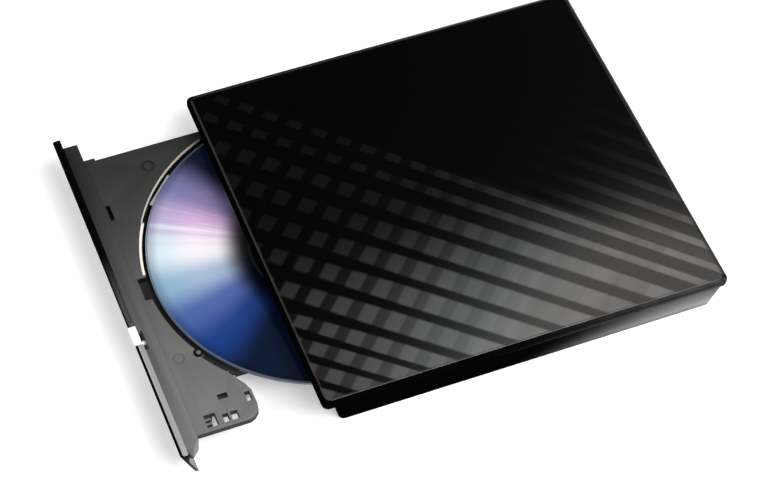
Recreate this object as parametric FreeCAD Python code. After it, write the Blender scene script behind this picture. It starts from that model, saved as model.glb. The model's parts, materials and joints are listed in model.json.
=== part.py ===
"""External slim optical drive: a flat case with a tray drive inside, its tray part open.

Millimetres, +Z up, +X to the right as seen from the front, -Y towards the front, where the
tray comes out. Everything is drawn with the tray shut and y = 0 at the lid's front edge, and
then moved to the rest pose and to the row's origin.
"""
import FreeCAD, Part
import math
import os
from FreeCAD import Vector

# ---- driving sizes -------------------------------------------------------------------------
CASE_WIDTH = 142.5
CASE_DEPTH = 151.7
CASE_HEIGHT = 20.4
FOOT_HEIGHT = 0.9
FOOT_RADIUS = 5.0
FOOT_SEAT = 0.6
LID_SKIRT = 3.1
LID_WALL = 1.8
LID_ROOF = 2.0
LID_BEVEL = 1.4
LID_BEVEL_DROP = 1.0
LID_CORNER = 2.4
LID_GROOVE = 1.3
LAP_WALL = 1.0
LAP_DEPTH = 1.2
SHELL_WALL = 1.8
SHELL_FLOOR = 1.6
SHELL_INSET = 1.05
SHELL_DRAFT = 3.4
SHELL_FRONT_INSET = 4.9
SHELL_FRONT_DRAFT = 3.1
SHELL_REAR_INSET = 1.0
SHELL_REAR_DRAFT = 1.7
SHELL_CORNER = 2.0
POST_RADIUS = 3.0
SCREW_RADIUS = 1.0
SCREW_HEAD_RADIUS = 2.2
SCREW_HEAD_HEIGHT = 1.0
LID_SCREW_SIDE = 10.5
FOOT_SIDE = 19.0
FOOT_FRONT = 18.0
FOOT_REAR = 16.0
BOSS_TOP = 8.5
SHELL_RIB = 1.6
SHELL_RIB_TOP = 12.5
SHELL_RIB_FRONT = 24.0
SHELL_RIB_REAR = 20.0
HOOK_SETBACK = 7.0
HOOK_HALF = 3.0
HOOK_BASE = 8.9
HOOK_BARB = 0.6
CUSHION_HALF = 45.0
CUSHION_DEPTH = 12.0

DRIVE_WIDTH = 128.0
DRIVE_DEPTH = 126.0
DRIVE_HEIGHT = 12.7
DRIVE_FRONT = 8.3
SHEET = 0.5
PAN_FLOOR = 0.6
PAN_ROOM = 0.5
BOARD_THICKNESS = 0.8
COVER_SIDE = 3.6
COVER_BEAD_RADIUS = 44.0
COVER_BEAD_WIDTH = 1.5
SMALL_SCREW_RADIUS = 0.8
SMALL_SCREW_HEAD = 1.5
SMALL_SCREW_DROP = 2.1
FLEX_WIDTH = 18.0
FLEX_X = -14.0
FLEX_THICKNESS = 0.15

DISC_RADIUS = 60.0
DISC_HOLE_RADIUS = 7.5
DISC_THICKNESS = 1.2
DISC_REAR_ROOM = 2.6
RECESS_RADIUS = 62.0

REST_OPEN = 47.4
TRAY_LEFT = 61.3
TRAY_RIGHT = 62.0
TRAY_CUT_X = 41.0
TRAY_TOP_DROP = 4.0
TRAY_PLATE = 2.4
TRAY_FLOOR = 1.2
TRAY_RIB = 1.2
EAR_DEPTH = 23.4
TRAY_REAR_GAP = 5.8
CUT_BACK = 34.0
NOTCH_LEFT = -6.0
NOTCH_RIGHT = 3.6
NOTCH_DEPTH = 2.3
LIP_WIDTH = 0.8
RIM_STOP_X = 30.4
RIM_STOP_SETBACK = 11.9
RIM_GROOVE = 1.0
TRAY_STEP = 1.3
TRAY_STEP_DEPTH = 4.0
BOARD_SETBACK = 27.0

RAIL_HEIGHT = 3.3
RAIL_DEPTH = 1.9
RAIL_LENGTH = 98.0
RAIL_SHEET = 0.5
SHOE_LENGTH = 23.0
SLIDE_GAP = 0.1
GUIDE_WALL = 0.8
GUIDE_LIP = 0.7

BEZEL_FRONT = 3.3
BEZEL_THICKNESS = 2.9
BEZEL_FOOT = 1.6
BEZEL_TOP = 15.5
BEZEL_BOTTOM = 4.5
BEZEL_SLANT = 4.5
BEAM_TOP = 11.5
BEAM_BACK = 5.5
BEAM_LEFT = 70.3
BEAM_RIGHT = 66.0
BUTTON_LEFT = 15.3
BUTTON_WIDTH = 7.7
BUTTON_HEIGHT = 7.0
BUTTON_DEPTH = 1.3
BUTTON_PROUD = 0.2
BUTTON_GAP = 0.3
BUTTON_TOP_DEPTH = 2.6
BUTTON_TOP_RISE = 0.5
CAP_ROOM = 2.1
STEM_RADIUS = 0.8
STEM_BORE = 1.1
STEM_RISE = 5.0
PIPE_X = 7.0
PIPE_RADIUS = 0.95
PIPE_BORE = 1.0
PINHOLE_X = 31.0
PINHOLE_RISE = 3.2
PINHOLE_RADIUS = 0.6
STRIP_WIDTH = 1.95
STRIP_DEPTH = 0.6
STRIP_END = 0.5
STRIP_CORNER = 0.75
CHANNEL_WIDTH = 1.7
CHANNEL_DEPTH = 0.5

SPINDLE_SHAFT_RADIUS = 1.5
ROTOR_RADIUS = 13.5
ROD_RADIUS = 1.0
ROD_SPREAD = 12.0
SCREW_LINE_STEP = 4.5
LEAD_SCREW_RADIUS = 0.9
SLED_REST = 30.0
SLED_TURN = 225.0
SLED_BASE_DROP = 1.2
SLED_WALL = 1.55
RUNNING = 0.04
FRAME_INNER = -16.0
FRAME_OUTER = 65.5
FRAME_BORDER = 4.0
FRAME_SCREW_BORDER = 4.5
FRAME_WINDOW_START = 14.5
FRAME_WINDOW_END = 62.5
ROD_CLIP_INNER = 12.6
ROD_CLIP_OUTER = 62.4
ROD_LENGTH = 51.6
LEAD_SCREW_LENGTH = 65.2
DAMPER_RADIUS = 3.3
DAMPER_NECK = 2.25
DAMPER_LIP = 0.6
DAMPER_SCREW_RADIUS = 1.2
POLES = 9
POLE_WIDTH = 1.6
POLE_RIM = 1.5
ROTOR_WALL = 1.1
CLAMP_RISE = 0.2
CLAMP_HEIGHT = 1.3
CLAMP_BALLS = 3
BALL_RADIUS = 0.95
LENS_RADIUS = 2.2
LENS_OPENING = 2.6

LATCH_X = 50.0
LATCH_SETBACK = 13.5
LATCH_THICKNESS = 1.4
LATCH_PIVOT = 0.95
LOCK_PIN_RADIUS = 1.0
SOLENOID_HALF = 4.4
SOLENOID_DEPTH = 5.6
SOLENOID_HEIGHT = 4.2

BRIDGE_WIDTH = 97.0
BRIDGE_THICKNESS = 1.2
USB_X = -38.0
USB_WIDTH = 7.7
USB_HEIGHT = 3.9
USB_DEPTH = 9.2
USB_SHEET = 0.35
SATA_X = 20.0
SATA_WIDTH = 34.0

# ---- levels and places that follow ---------------------------------------------------------
LID_TOP = CASE_HEIGHT
LID_BASE = LID_TOP - LID_SKIRT
LID_CEILING = LID_TOP - LID_ROOF
SHELL_TOP = LID_BASE - LID_GROOVE
SHELL_BASE = FOOT_HEIGHT
FLOOR_TOP = SHELL_BASE + SHELL_FLOOR
HALF_CASE = CASE_WIDTH / 2
HALF_DRIVE = DRIVE_WIDTH / 2
DRIVE_BASE = FLOOR_TOP
DRIVE_TOP = DRIVE_BASE + DRIVE_HEIGHT
DRIVE_REAR = DRIVE_FRONT + DRIVE_DEPTH
COVER_UNDER = DRIVE_TOP - SHEET
PAN_HALF = HALF_DRIVE - SHEET
PAN_INNER = PAN_HALF - SHEET
PAN_TOP = DRIVE_BASE + PAN_FLOOR

TRAY_TOP = DRIVE_TOP - TRAY_TOP_DROP
PLATE_BASE = TRAY_TOP - TRAY_PLATE
DISC_BASE = TRAY_TOP - 1.1
DISC_TOP = DISC_BASE + DISC_THICKNESS
RECESS_FLOOR = PLATE_BASE - 0.4
FLOOR_BASE = RECESS_FLOOR - TRAY_FLOOR
RIB_BASE = PAN_TOP + 1.1
TRAY_REAR = DRIVE_REAR - TRAY_REAR_GAP - SHEET
EAR_BACK = BEAM_BACK + EAR_DEPTH
DISC_Y = DRIVE_REAR - SHEET - DISC_REAR_ROOM - DISC_RADIUS

GUIDE_BASE = PAN_TOP + 0.4
RAIL_BASE = GUIDE_BASE + GUIDE_LIP + SLIDE_GAP
RAIL_TOP = RAIL_BASE + RAIL_HEIGHT
GUIDE_TOP = RAIL_TOP + SLIDE_GAP + GUIDE_LIP
RAIL_OUT = PAN_INNER - GUIDE_WALL - SLIDE_GAP
RAIL_IN = RAIL_OUT - RAIL_DEPTH
GUIDE_IN = RAIL_IN + 0.3
SHOE_OUT = RAIL_OUT - RAIL_SHEET - SLIDE_GAP
SHOE_BASE = RAIL_BASE + RAIL_SHEET + SLIDE_GAP
SHOE_TOP = RAIL_TOP - RAIL_SHEET - SLIDE_GAP
BODY_HALF = RAIL_IN - 0.4
SHOE_REAR = TRAY_REAR - 1.0
SHOE_FRONT = SHOE_REAR - SHOE_LENGTH
RAIL_REAR = DRIVE_REAR - 3.3
RAIL_FRONT = RAIL_REAR - RAIL_LENGTH

FRAME_TOP = FLOOR_BASE - 0.4
FRAME_BASE = FRAME_TOP - 0.8
ROD_Z = FRAME_BASE - 0.8
LEAD_Z = ROD_Z - 0.4
SCREW_LINE = ROD_SPREAD + SCREW_LINE_STEP
FRAME_SIDE = -ROD_SPREAD - FRAME_BORDER
FRAME_SCREW_SIDE = SCREW_LINE + FRAME_SCREW_BORDER
OPENING_HALF = HALF_DRIVE + 0.6
BOARD_FRONT = DISC_Y + BOARD_SETBACK
BUTTON_RIGHT = BUTTON_LEFT + BUTTON_WIDTH
BUTTON_X = BUTTON_LEFT + BUTTON_WIDTH / 2
STEM_Z = BEZEL_BOTTOM + STEM_RISE
PIPE_Z = STEM_Z
PINHOLE_Z = BEZEL_BOTTOM + PINHOLE_RISE
STRIP_LEFT = BUTTON_RIGHT + BUTTON_GAP
STRIP_RIGHT = HALF_CASE - STRIP_END
STRIP_BACK = BEZEL_THICKNESS - BEZEL_FRONT
LATCH_Y = BEAM_BACK + LATCH_SETBACK
LOCK_PIN_X = LATCH_X - 4.0
LOCK_PIN_Y = LATCH_Y + 6.2
ROTOR_CEILING = DISC_BASE - 1.1
DISC_SEAT = DISC_BASE - 0.35
ROW_Y = (CASE_DEPTH - BEZEL_FRONT - BUTTON_PROUD - REST_OPEN) / 2

NODES = {}


# ---- small shape helpers -------------------------------------------------------------------
def block(x0, x1, y0, y1, z0, z1):
    """A box between two corners."""
    return Part.makeBox(x1 - x0, y1 - y0, z1 - z0, Vector(x0, y0, z0))


def post(radius, x, y, z0, z1):
    """An upright cylinder."""
    return Part.makeCylinder(radius, z1 - z0, Vector(x, y, z0))


def tube(outer, inner, x, y, z0, z1):
    """An upright ring."""
    return post(outer, x, y, z0, z1).cut(post(inner, x, y, z0 - 1, z1 + 1))


def pin_y(radius, x, z, y0, y1):
    """A cylinder lying along Y."""
    return Part.makeCylinder(radius, y1 - y0, Vector(x, y0, z), Vector(0, 1, 0))


def pin_x(radius, y, z, x0, x1):
    """A cylinder lying along X."""
    return Part.makeCylinder(radius, x1 - x0, Vector(x0, y, z), Vector(1, 0, 0))


def prism_z(points, z0, z1):
    """An upright prism on an outline of (x, y) points."""
    corners = [Vector(x, y, z0) for x, y in points]
    face = Part.Face(Part.makePolygon(corners + corners[:1]))
    return face.extrude(Vector(0, 0, z1 - z0))


def prism_y(points, y0, y1):
    """A prism along Y on an outline of (x, z) points."""
    corners = [Vector(x, y0, z) for x, z in points]
    face = Part.Face(Part.makePolygon(corners + corners[:1]))
    return face.extrude(Vector(0, y1 - y0, 0))


def prism_x(points, x0, x1):
    """A prism along X on an outline of (y, z) points."""
    corners = [Vector(x0, y, z) for y, z in points]
    face = Part.Face(Part.makePolygon(corners + corners[:1]))
    return face.extrude(Vector(x1 - x0, 0, 0))


def rounded_wire(x0, x1, y0, y1, z, radius):
    """A level rectangle with round corners."""
    r = radius
    d = r * (1 - math.sqrt(0.5))
    edges = []
    sides = [((x0 + r, y0), (x1 - r, y0)), ((x1, y0 + r), (x1, y1 - r)),
             ((x1 - r, y1), (x0 + r, y1)), ((x0, y1 - r), (x0, y0 + r))]
    middles = [(x1 - d, y0 + d), (x1 - d, y1 - d), (x0 + d, y1 - d), (x0 + d, y0 + d)]
    for index, (start, end) in enumerate(sides):
        following = sides[(index + 1) % 4][0]
        edges.append(Part.makeLine(Vector(*start, z), Vector(*end, z)))
        edges.append(Part.Arc(Vector(*end, z), Vector(*middles[index], z), Vector(*following, z)).toShape())
    return Part.Wire(edges)


def rounded_block(x0, x1, y0, y1, z0, z1, radius):
    """A box with round upright edges."""
    face = Part.Face(rounded_wire(x0, x1, y0, y1, z0, radius))
    return face.extrude(Vector(0, 0, z1 - z0))


def tapered(low, high, radius):
    """A loft between two level rounded rectangles, each given as (x0, x1, y0, y1, z)."""
    wires = [rounded_wire(*low, radius), rounded_wire(*high, radius)]
    return Part.makeLoft(wires, True, True)


def fuse(shapes):
    """One solid from several that overlap."""
    return shapes[0].multiFuse(shapes[1:]).removeSplitter()


def mirror_x(shape):
    """The same shape on the other side of the centre plane."""
    return shape.mirror(Vector(0, 0, 0), Vector(1, 0, 0))


def round_edges(shape, radius, wanted):
    """Rounds the edges that the test picks."""
    edges = [edge for edge in shape.Edges if wanted(edge)]
    return shape.makeFillet(radius, edges)


def is_upright(edge):
    """True for a straight edge along Z."""
    box = edge.BoundBox
    return box.XLength < 1e-6 and box.YLength < 1e-6


# ---- case ----------------------------------------------------------------------------------
def shell_outline(z, inset):
    """The bottom shell's outline at a height, with its sides moved in."""
    share = (SHELL_TOP - z) / (SHELL_TOP - SHELL_BASE)
    half = HALF_CASE - SHELL_INSET - SHELL_DRAFT * share - inset
    front = SHELL_FRONT_INSET + SHELL_FRONT_DRAFT * share + inset
    rear = CASE_DEPTH - SHELL_REAR_INSET - SHELL_REAR_DRAFT * share - inset
    return (-half, half, front, rear, z)


def shell_block(inset, z0, z1, radius):
    """The tapered body of the bottom shell, between two heights."""
    return tapered(shell_outline(z0, inset), shell_outline(z1, inset), radius)


def foot_places():
    """Centres of the four feet."""
    side = HALF_CASE - FOOT_SIDE
    return [(x, y) for x in (-side, side) for y in (FOOT_FRONT, CASE_DEPTH - FOOT_REAR)]


def lid_screw_places():
    """Centres of the two screws behind the drive."""
    side = HALF_CASE - LID_SCREW_SIDE
    y = (DRIVE_REAR + shell_outline(FLOOR_TOP, SHELL_WALL)[3]) / 2
    return [(-side, y), (side, y)]


def bridge_screw_places():
    """Centres of the bridge board's screws."""
    y = bridge_front() + 3.0
    return [(USB_X - 7.5, y), (SATA_X + SATA_WIDTH / 2 + 6.0, y)]


def bridge_front():
    """Front edge of the bridge board."""
    return DRIVE_REAR + 1.6


def bridge_rear():
    """Rear edge of the bridge board."""
    return shell_outline(FLOOR_TOP, SHELL_WALL)[3] - 0.3


def bridge_base():
    """Underside of the bridge board."""
    return FLOOR_TOP + 1.3


def usb_base():
    """Underside of the socket shell, on the bridge board."""
    return bridge_base() + BRIDGE_THICKNESS


def usb_rear():
    """Mouth of the socket, just inside the rear wall's outer face."""
    return shell_outline(usb_base(), 0)[3] - 0.8


def hook_y():
    """Middle of the lid's side hooks."""
    return DRIVE_FRONT + HOOK_SETBACK


def bottom_shell():
    """The tapered tub that holds the drive."""
    shell = shell_block(0, SHELL_BASE, SHELL_TOP, SHELL_CORNER)
    shell = shell.cut(shell_block(SHELL_WALL, FLOOR_TOP, SHELL_TOP + 1, 0.6))
    shell = shell.cut(block(-OPENING_HALF, OPENING_HALF, -5, DRIVE_FRONT + 4, FLOOR_TOP, SHELL_TOP + 1))
    inner = shell_block(SHELL_WALL - 0.3, FLOOR_TOP - 0.3, SHELL_TOP - LAP_DEPTH - 0.4, 0.6)
    parts = [shell]
    for y in (DRIVE_FRONT + SHELL_RIB_FRONT, DRIVE_REAR - SHELL_RIB_REAR):
        rib = block(HALF_DRIVE + 0.1, HALF_CASE, y, y + SHELL_RIB, FLOOR_TOP - 0.2, SHELL_RIB_TOP)
        rib = rib.common(inner)
        parts += [rib, mirror_x(rib)]
    for x, y in lid_screw_places():
        parts.append(post(POST_RADIUS, x, y, FLOOR_TOP - 0.3, BOSS_TOP))
    for x, y in bridge_screw_places():
        parts.append(post(2.4, x, y, FLOOR_TOP - 0.3, bridge_base()))
    stop = block(-6.0, 0.0, DRIVE_REAR + 0.05, DRIVE_REAR + 1.2, FLOOR_TOP - 0.3, 7.0)
    parts.append(stop)
    shell = fuse(parts)
    for x, y in foot_places():
        shell = shell.cut(post(FOOT_RADIUS, x, y, SHELL_BASE - 1, SHELL_BASE + FOOT_SEAT))
    for x, y in lid_screw_places():
        shell = shell.cut(post(SCREW_RADIUS + 0.15, x, y, SHELL_BASE - 1, BOSS_TOP + 0.5))
        seat = post(SCREW_HEAD_RADIUS + 0.2, x, y, SHELL_BASE - 1, SHELL_BASE + SCREW_HEAD_HEIGHT)
        shell = shell.cut(seat)
    for x, y in bridge_screw_places():
        shell = shell.cut(post(0.8, x, y, FLOOR_TOP - 0.6, bridge_base() + 1))
    mouth_z = usb_base() + USB_HEIGHT / 2
    half = USB_WIDTH / 2 + 1.75
    mouth = block(USB_X - half, USB_X + half, usb_rear() - 5, CASE_DEPTH + 2, mouth_z - 3.6, mouth_z + 3.9)
    shell = shell.cut(mouth)
    reach = HOOK_HALF + 0.4
    y = hook_y()
    slot = block(HALF_CASE - 5.6, HALF_CASE - 3.2, y - reach, y + reach, HOOK_BASE - 0.2, 10.6)
    return shell.cut(slot).cut(mirror_x(slot))


def top_cover():
    """The lid: a bevelled plate with a skirt and an inner lap rim."""
    low = (-HALF_CASE, HALF_CASE, 0, CASE_DEPTH)
    bevel_z = LID_TOP - LID_BEVEL_DROP
    inset = LID_BEVEL
    high = (-HALF_CASE + inset, HALF_CASE - inset, inset, CASE_DEPTH - inset, LID_TOP)
    lid = rounded_block(*low, LID_BASE, bevel_z, LID_CORNER)
    lid = lid.fuse(tapered((*low, bevel_z), high, LID_CORNER))
    wall = LID_WALL
    hollow = (-HALF_CASE + wall, HALF_CASE - wall, wall, CASE_DEPTH - wall)
    lid = lid.cut(rounded_block(*hollow, LID_BASE - 1, LID_CEILING, 1.0))
    lap_base = SHELL_TOP - LAP_DEPTH
    x0, x1, y0, y1, _ = shell_outline(lap_base, SHELL_WALL + 0.25)
    lap = rounded_block(x0, x1, y0, y1, lap_base, LID_CEILING + 0.3, 1.0)
    lap = lap.cut(rounded_block(x0 + LAP_WALL, x1 - LAP_WALL, y0 + LAP_WALL, y1 - LAP_WALL,
                                lap_base - 1, LID_CEILING + 1, 0.6))
    lap = lap.cut(block(-OPENING_HALF, OPENING_HALF, -1, DRIVE_FRONT + 5, lap_base - 1, DRIVE_TOP + 0.3))
    parts = [lid, lap]
    for x, y in lid_screw_places():
        parts.append(post(POST_RADIUS, x, y, BOSS_TOP + 0.1, LID_CEILING + 0.3))
    hook_out = shell_outline(9.6, SHELL_WALL + 0.15)[1]
    hook_in = max(HALF_DRIVE + 0.3, hook_out - 1.4)
    y0 = hook_y() - HOOK_HALF
    y1 = hook_y() + HOOK_HALF
    hook = block(hook_in, hook_out, y0, y1, HOOK_BASE, LID_CEILING + 0.3)
    barb = block(hook_out - 0.3, hook_out + HOOK_BARB, y0, y1, HOOK_BASE, HOOK_BASE + 1.5)
    parts += [hook, barb, mirror_x(hook), mirror_x(barb)]
    lid = fuse(parts)
    for x, y in lid_screw_places():
        lid = lid.cut(post(SCREW_RADIUS + 0.02, x, y, 8, 15.5))
    return lid


def rubber_feet():
    """Four pads in round seats under the bottom shell."""
    pads = []
    for x, y in foot_places():
        pad = post(FOOT_RADIUS - 0.05, x, y, 0, SHELL_BASE + FOOT_SEAT)
        pads.append(round_edges(pad, 0.35, lambda edge: edge.BoundBox.ZMax < 1e-6))
    return Part.makeCompound(pads)


def case_screws():
    """Two screws that pull the lid's rear posts down onto the shell's bosses."""
    screws = []
    for x, y in lid_screw_places():
        head = post(SCREW_HEAD_RADIUS, x, y, SHELL_BASE + 0.1, SHELL_BASE + SCREW_HEAD_HEIGHT)
        cross = block(x - 1.2, x + 1.2, y - 0.25, y + 0.25, SHELL_BASE, SHELL_BASE + 0.6)
        cross = cross.fuse(block(x - 0.25, x + 0.25, y - 1.2, y + 1.2, SHELL_BASE, SHELL_BASE + 0.6))
        shank = post(SCREW_RADIUS, x, y, SHELL_BASE + 0.5, 14.5)
        screws.append(head.fuse(shank).removeSplitter().cut(cross))
    return Part.makeCompound(screws)


def cushion_strips():
    """Two foam strips that hold the drive down under the lid."""
    strips = []
    for y in (DRIVE_FRONT + 20.0, DRIVE_REAR - 32.0):
        strips.append(block(-CUSHION_HALF, CUSHION_HALF, y, y + CUSHION_DEPTH, DRIVE_TOP, LID_CEILING))
    return Part.makeCompound(strips)


# ---- USB bridge ----------------------------------------------------------------------------
def bridge_board():
    """The bridge board behind the drive."""
    x0 = USB_X - 12.0
    board = block(x0, x0 + BRIDGE_WIDTH, bridge_front(), bridge_rear(), bridge_base(), usb_base())
    for x, y in bridge_screw_places():
        board = board.cut(post(1.0, x, y, 0, 10))
    return board


def bridge_parts():
    """Controller chip, crystal and capacitors on the bridge board."""
    z = usb_base()
    y = bridge_front() + 2.2
    chip = block(-22, -15, y, y + 7.0, z, z + 1.2)
    crystal = rounded_block(-12.4, -8.4, y + 1.0, y + 4.6, z, z + 1.1, 0.8)
    parts = [chip, crystal]
    for x in (-28.2, -5.6, -2.6):
        parts.append(block(x, x + 1.6, y + 2, y + 5.0, z, z + 1.4))
    return Part.makeCompound(parts)


def bridge_screws():
    """Two screws that hold the bridge board."""
    screws = []
    for x, y in bridge_screw_places():
        head = post(1.9, x, y, usb_base(), usb_base() + 0.9)
        slot = block(x - 1.3, x + 1.3, y - 0.2, y + 0.2, usb_base() + 0.5, usb_base() + 2)
        shank = post(0.78, x, y, FLOOR_TOP - 0.4, usb_base() + 0.2)
        screws.append(head.fuse(shank).removeSplitter().cut(slot))
    return Part.makeCompound(screws)


def usb_socket():
    """The mini-USB receptacle's metal shell, open to the rear."""
    half = USB_WIDTH / 2
    z0 = usb_base()
    z1 = z0 + USB_HEIGHT
    y0 = usb_rear() - USB_DEPTH

    def section(gap):
        return [(USB_X - half + 0.9 + gap, z0 + gap), (USB_X + half - 0.9 - gap, z0 + gap),
                (USB_X + half - gap, z0 + 1.5), (USB_X + half - gap, z1 - gap),
                (USB_X - half + gap, z1 - gap), (USB_X - half + gap, z0 + 1.5)]

    shell = prism_y(section(0), y0, usb_rear())
    return shell.cut(prism_y(section(USB_SHEET), y0 + USB_SHEET, usb_rear() + 1))


def usb_tongue():
    """The receptacle's insulator, with five contacts on its tongue."""
    z = usb_base() + USB_HEIGHT - 1.9
    y0 = usb_rear() - USB_DEPTH + USB_SHEET
    ceiling = usb_base() + USB_HEIGHT - USB_SHEET
    back = block(USB_X - 2.6, USB_X + 2.6, y0, y0 + 1.6, usb_base() + USB_SHEET, ceiling)
    tongue = block(USB_X - 2.1, USB_X + 2.1, y0, usb_rear() - 1.2, z, z + 0.8)
    body = back.fuse(tongue).removeSplitter()
    for index in range(5):
        x = USB_X + 0.8 * (index - 2)
        body = body.fuse(block(x - 0.2, x + 0.2, y0 + 1.0, usb_rear() - 1.6, z - 0.12, z + 0.1))
    return body.removeSplitter()


def sata_socket():
    """The slim SATA socket on the bridge board."""
    z = usb_base()
    half = SATA_WIDTH / 2
    y0 = DRIVE_REAR + 0.4
    body = block(SATA_X - half, SATA_X + half, y0, bridge_front() + 5.0, z, z + 4.6)
    body = body.cut(block(SATA_X - half - 1, SATA_X + half + 1, y0 - 1, bridge_front(), 0, z))
    for x0, x1 in sata_tongues():
        body = body.cut(block(x0 - 0.1, x1 + 0.1, y0 - 1, y0 + 3.6, z + 1.5, z + 2.9))
    return body


def sata_tongues():
    """Left and right ends of the plug's signal and power tongues."""
    half = SATA_WIDTH / 2
    return [(SATA_X - half + 2.5, SATA_X - half + 12.5), (SATA_X - half + 15.5, SATA_X + half - 3.5)]


# ---- slim drive, fixed part ----------------------------------------------------------------
def drive_chassis():
    """The drive's sheet-steel pan, open to the front, with the lock pin on its floor."""
    pan = block(-PAN_HALF, PAN_HALF, DRIVE_FRONT, DRIVE_REAR - SHEET, DRIVE_BASE, COVER_UNDER)
    hollow = block(-PAN_INNER, PAN_INNER, DRIVE_FRONT - 1, DRIVE_REAR - 2 * SHEET, PAN_TOP, DRIVE_TOP + 1)
    pan = pan.cut(hollow)
    half = SATA_WIDTH / 2 + 1.0
    pan = pan.cut(block(SATA_X - half, SATA_X + half, DRIVE_REAR - 5, DRIVE_REAR + 5, PAN_TOP + 0.3, 10.2))
    for x, y, z in cover_screw_places():
        pan = pan.cut(pin_x(SMALL_SCREW_RADIUS + 0.05, y, z, x - 3, x + 3))
    pan = pan.fuse(post(LOCK_PIN_RADIUS, LOCK_PIN_X, LOCK_PIN_Y, PAN_TOP - 0.2, PAN_TOP + 3.7))
    return pan.removeSplitter()


def cover_screw_places():
    """Where the four small screws go in through the drive's sides, as (x, y, z)."""
    z = COVER_UNDER - SMALL_SCREW_DROP
    rows = (DRIVE_FRONT + 15, DRIVE_REAR - 14)
    return [(side * HALF_DRIVE, y, z) for side in (-1, 1) for y in rows]


def drive_cover():
    """The drive's sheet-steel cover, with turned-down sides and rear."""
    cover = block(-HALF_DRIVE, HALF_DRIVE, DRIVE_FRONT, DRIVE_REAR, COVER_UNDER - COVER_SIDE, DRIVE_TOP)
    cover = cover.cut(block(-PAN_HALF, PAN_HALF, DRIVE_FRONT - 1, DRIVE_REAR - SHEET, 0, COVER_UNDER))
    for x, y, z in cover_screw_places():
        cover = cover.cut(pin_x(SMALL_SCREW_RADIUS + 0.05, y, z, x - 3, x + 3))
    radius = COVER_BEAD_RADIUS
    bead = tube(radius, radius - COVER_BEAD_WIDTH, 0, DISC_Y, DRIVE_TOP - 0.2, DRIVE_TOP + 1)
    return cover.cut(bead)


def cover_screws():
    """Four small flat-headed screws in the drive's sides."""
    screws = []
    for x, y, z in cover_screw_places():
        side = 1 if x > 0 else -1
        out = Vector(side, 0, 0)
        head = Part.makeCylinder(SMALL_SCREW_HEAD, 0.4, Vector(x, y, z), out)
        shank = Part.makeCylinder(SMALL_SCREW_RADIUS, 1.4, Vector(x - side * 1.3, y, z), out)
        face = x + side * 0.4
        slot = block(face - 0.15, face + 0.15, y - 1.0, y + 1.0, z - 0.15, z + 0.15)
        screws.append(head.fuse(shank).removeSplitter().cut(slot))
    return Part.makeCompound(screws)


def slide_guide():
    """The right plastic guide: a channel that opens inwards and holds the rail."""
    lip = GUIDE_LIP
    outline = [(GUIDE_IN, GUIDE_BASE), (PAN_INNER, GUIDE_BASE), (PAN_INNER, GUIDE_TOP),
               (GUIDE_IN, GUIDE_TOP), (GUIDE_IN, GUIDE_TOP - lip),
               (PAN_INNER - GUIDE_WALL, GUIDE_TOP - lip), (PAN_INNER - GUIDE_WALL, GUIDE_BASE + lip),
               (GUIDE_IN, GUIDE_BASE + lip)]
    guide = prism_y(outline, DRIVE_FRONT + 0.8, DRIVE_REAR - 2 * SHEET)
    foot = block(PAN_INNER - 2.0, PAN_INNER, DRIVE_FRONT + 4, DRIVE_REAR - 6, PAN_TOP, GUIDE_BASE)
    return guide.fuse(foot).removeSplitter()


def slide_rail():
    """The right telescoping rail: a steel channel between guide and tray shoe."""
    sheet = RAIL_SHEET
    outline = [(RAIL_IN, RAIL_BASE), (RAIL_OUT, RAIL_BASE), (RAIL_OUT, RAIL_TOP), (RAIL_IN, RAIL_TOP),
               (RAIL_IN, RAIL_TOP - sheet), (RAIL_OUT - sheet, RAIL_TOP - sheet),
               (RAIL_OUT - sheet, RAIL_BASE + sheet), (RAIL_IN, RAIL_BASE + sheet)]
    return prism_y(outline, RAIL_FRONT, RAIL_REAR)


def connector_board():
    """The small board across the rear of the drive."""
    half = SATA_WIDTH / 2 + 4.0
    z = PAN_TOP + 0.8
    top = z + BOARD_THICKNESS
    board = block(SATA_X - half, SATA_X + half, TRAY_REAR + 0.6, DRIVE_REAR - 2 * SHEET, z, top)
    stand = block(SATA_X - half, SATA_X + half, TRAY_REAR + 2.6, DRIVE_REAR - 2 * SHEET, PAN_TOP, z)
    return board.fuse(stand).removeSplitter()


def sata_plug():
    """The drive's slim SATA plug: a body with a signal tongue and a power tongue."""
    z = usb_base()
    half = SATA_WIDTH / 2
    body = block(SATA_X - half, SATA_X + half, TRAY_REAR + 1.6, DRIVE_REAR + 0.2, z, z + 4.6)
    parts = [body]
    for x0, x1 in sata_tongues():
        parts.append(block(x0, x1, DRIVE_REAR, DRIVE_REAR + 3.6, z + 1.6, z + 2.8))
    return fuse(parts)


def flex_cable():
    """The flat cable's fixed run along the floor, up to the rear board."""
    x0 = FLEX_X - FLEX_WIDTH / 2
    x1 = FLEX_X + FLEX_WIDTH / 2
    sheet = FLEX_THICKNESS
    rear = TRAY_REAR + 2.4
    low = PAN_TOP + 0.8
    run = block(x0, x1, DISC_Y + 8, rear + sheet, PAN_TOP, PAN_TOP + sheet)
    turn = block(x0, x1, rear, rear + sheet, PAN_TOP, low + sheet)
    across = block(x0, SATA_X - SATA_WIDTH / 2 - 4.0, rear, rear + 1.6, low, low + sheet)
    return fuse([run, turn, across])


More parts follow.
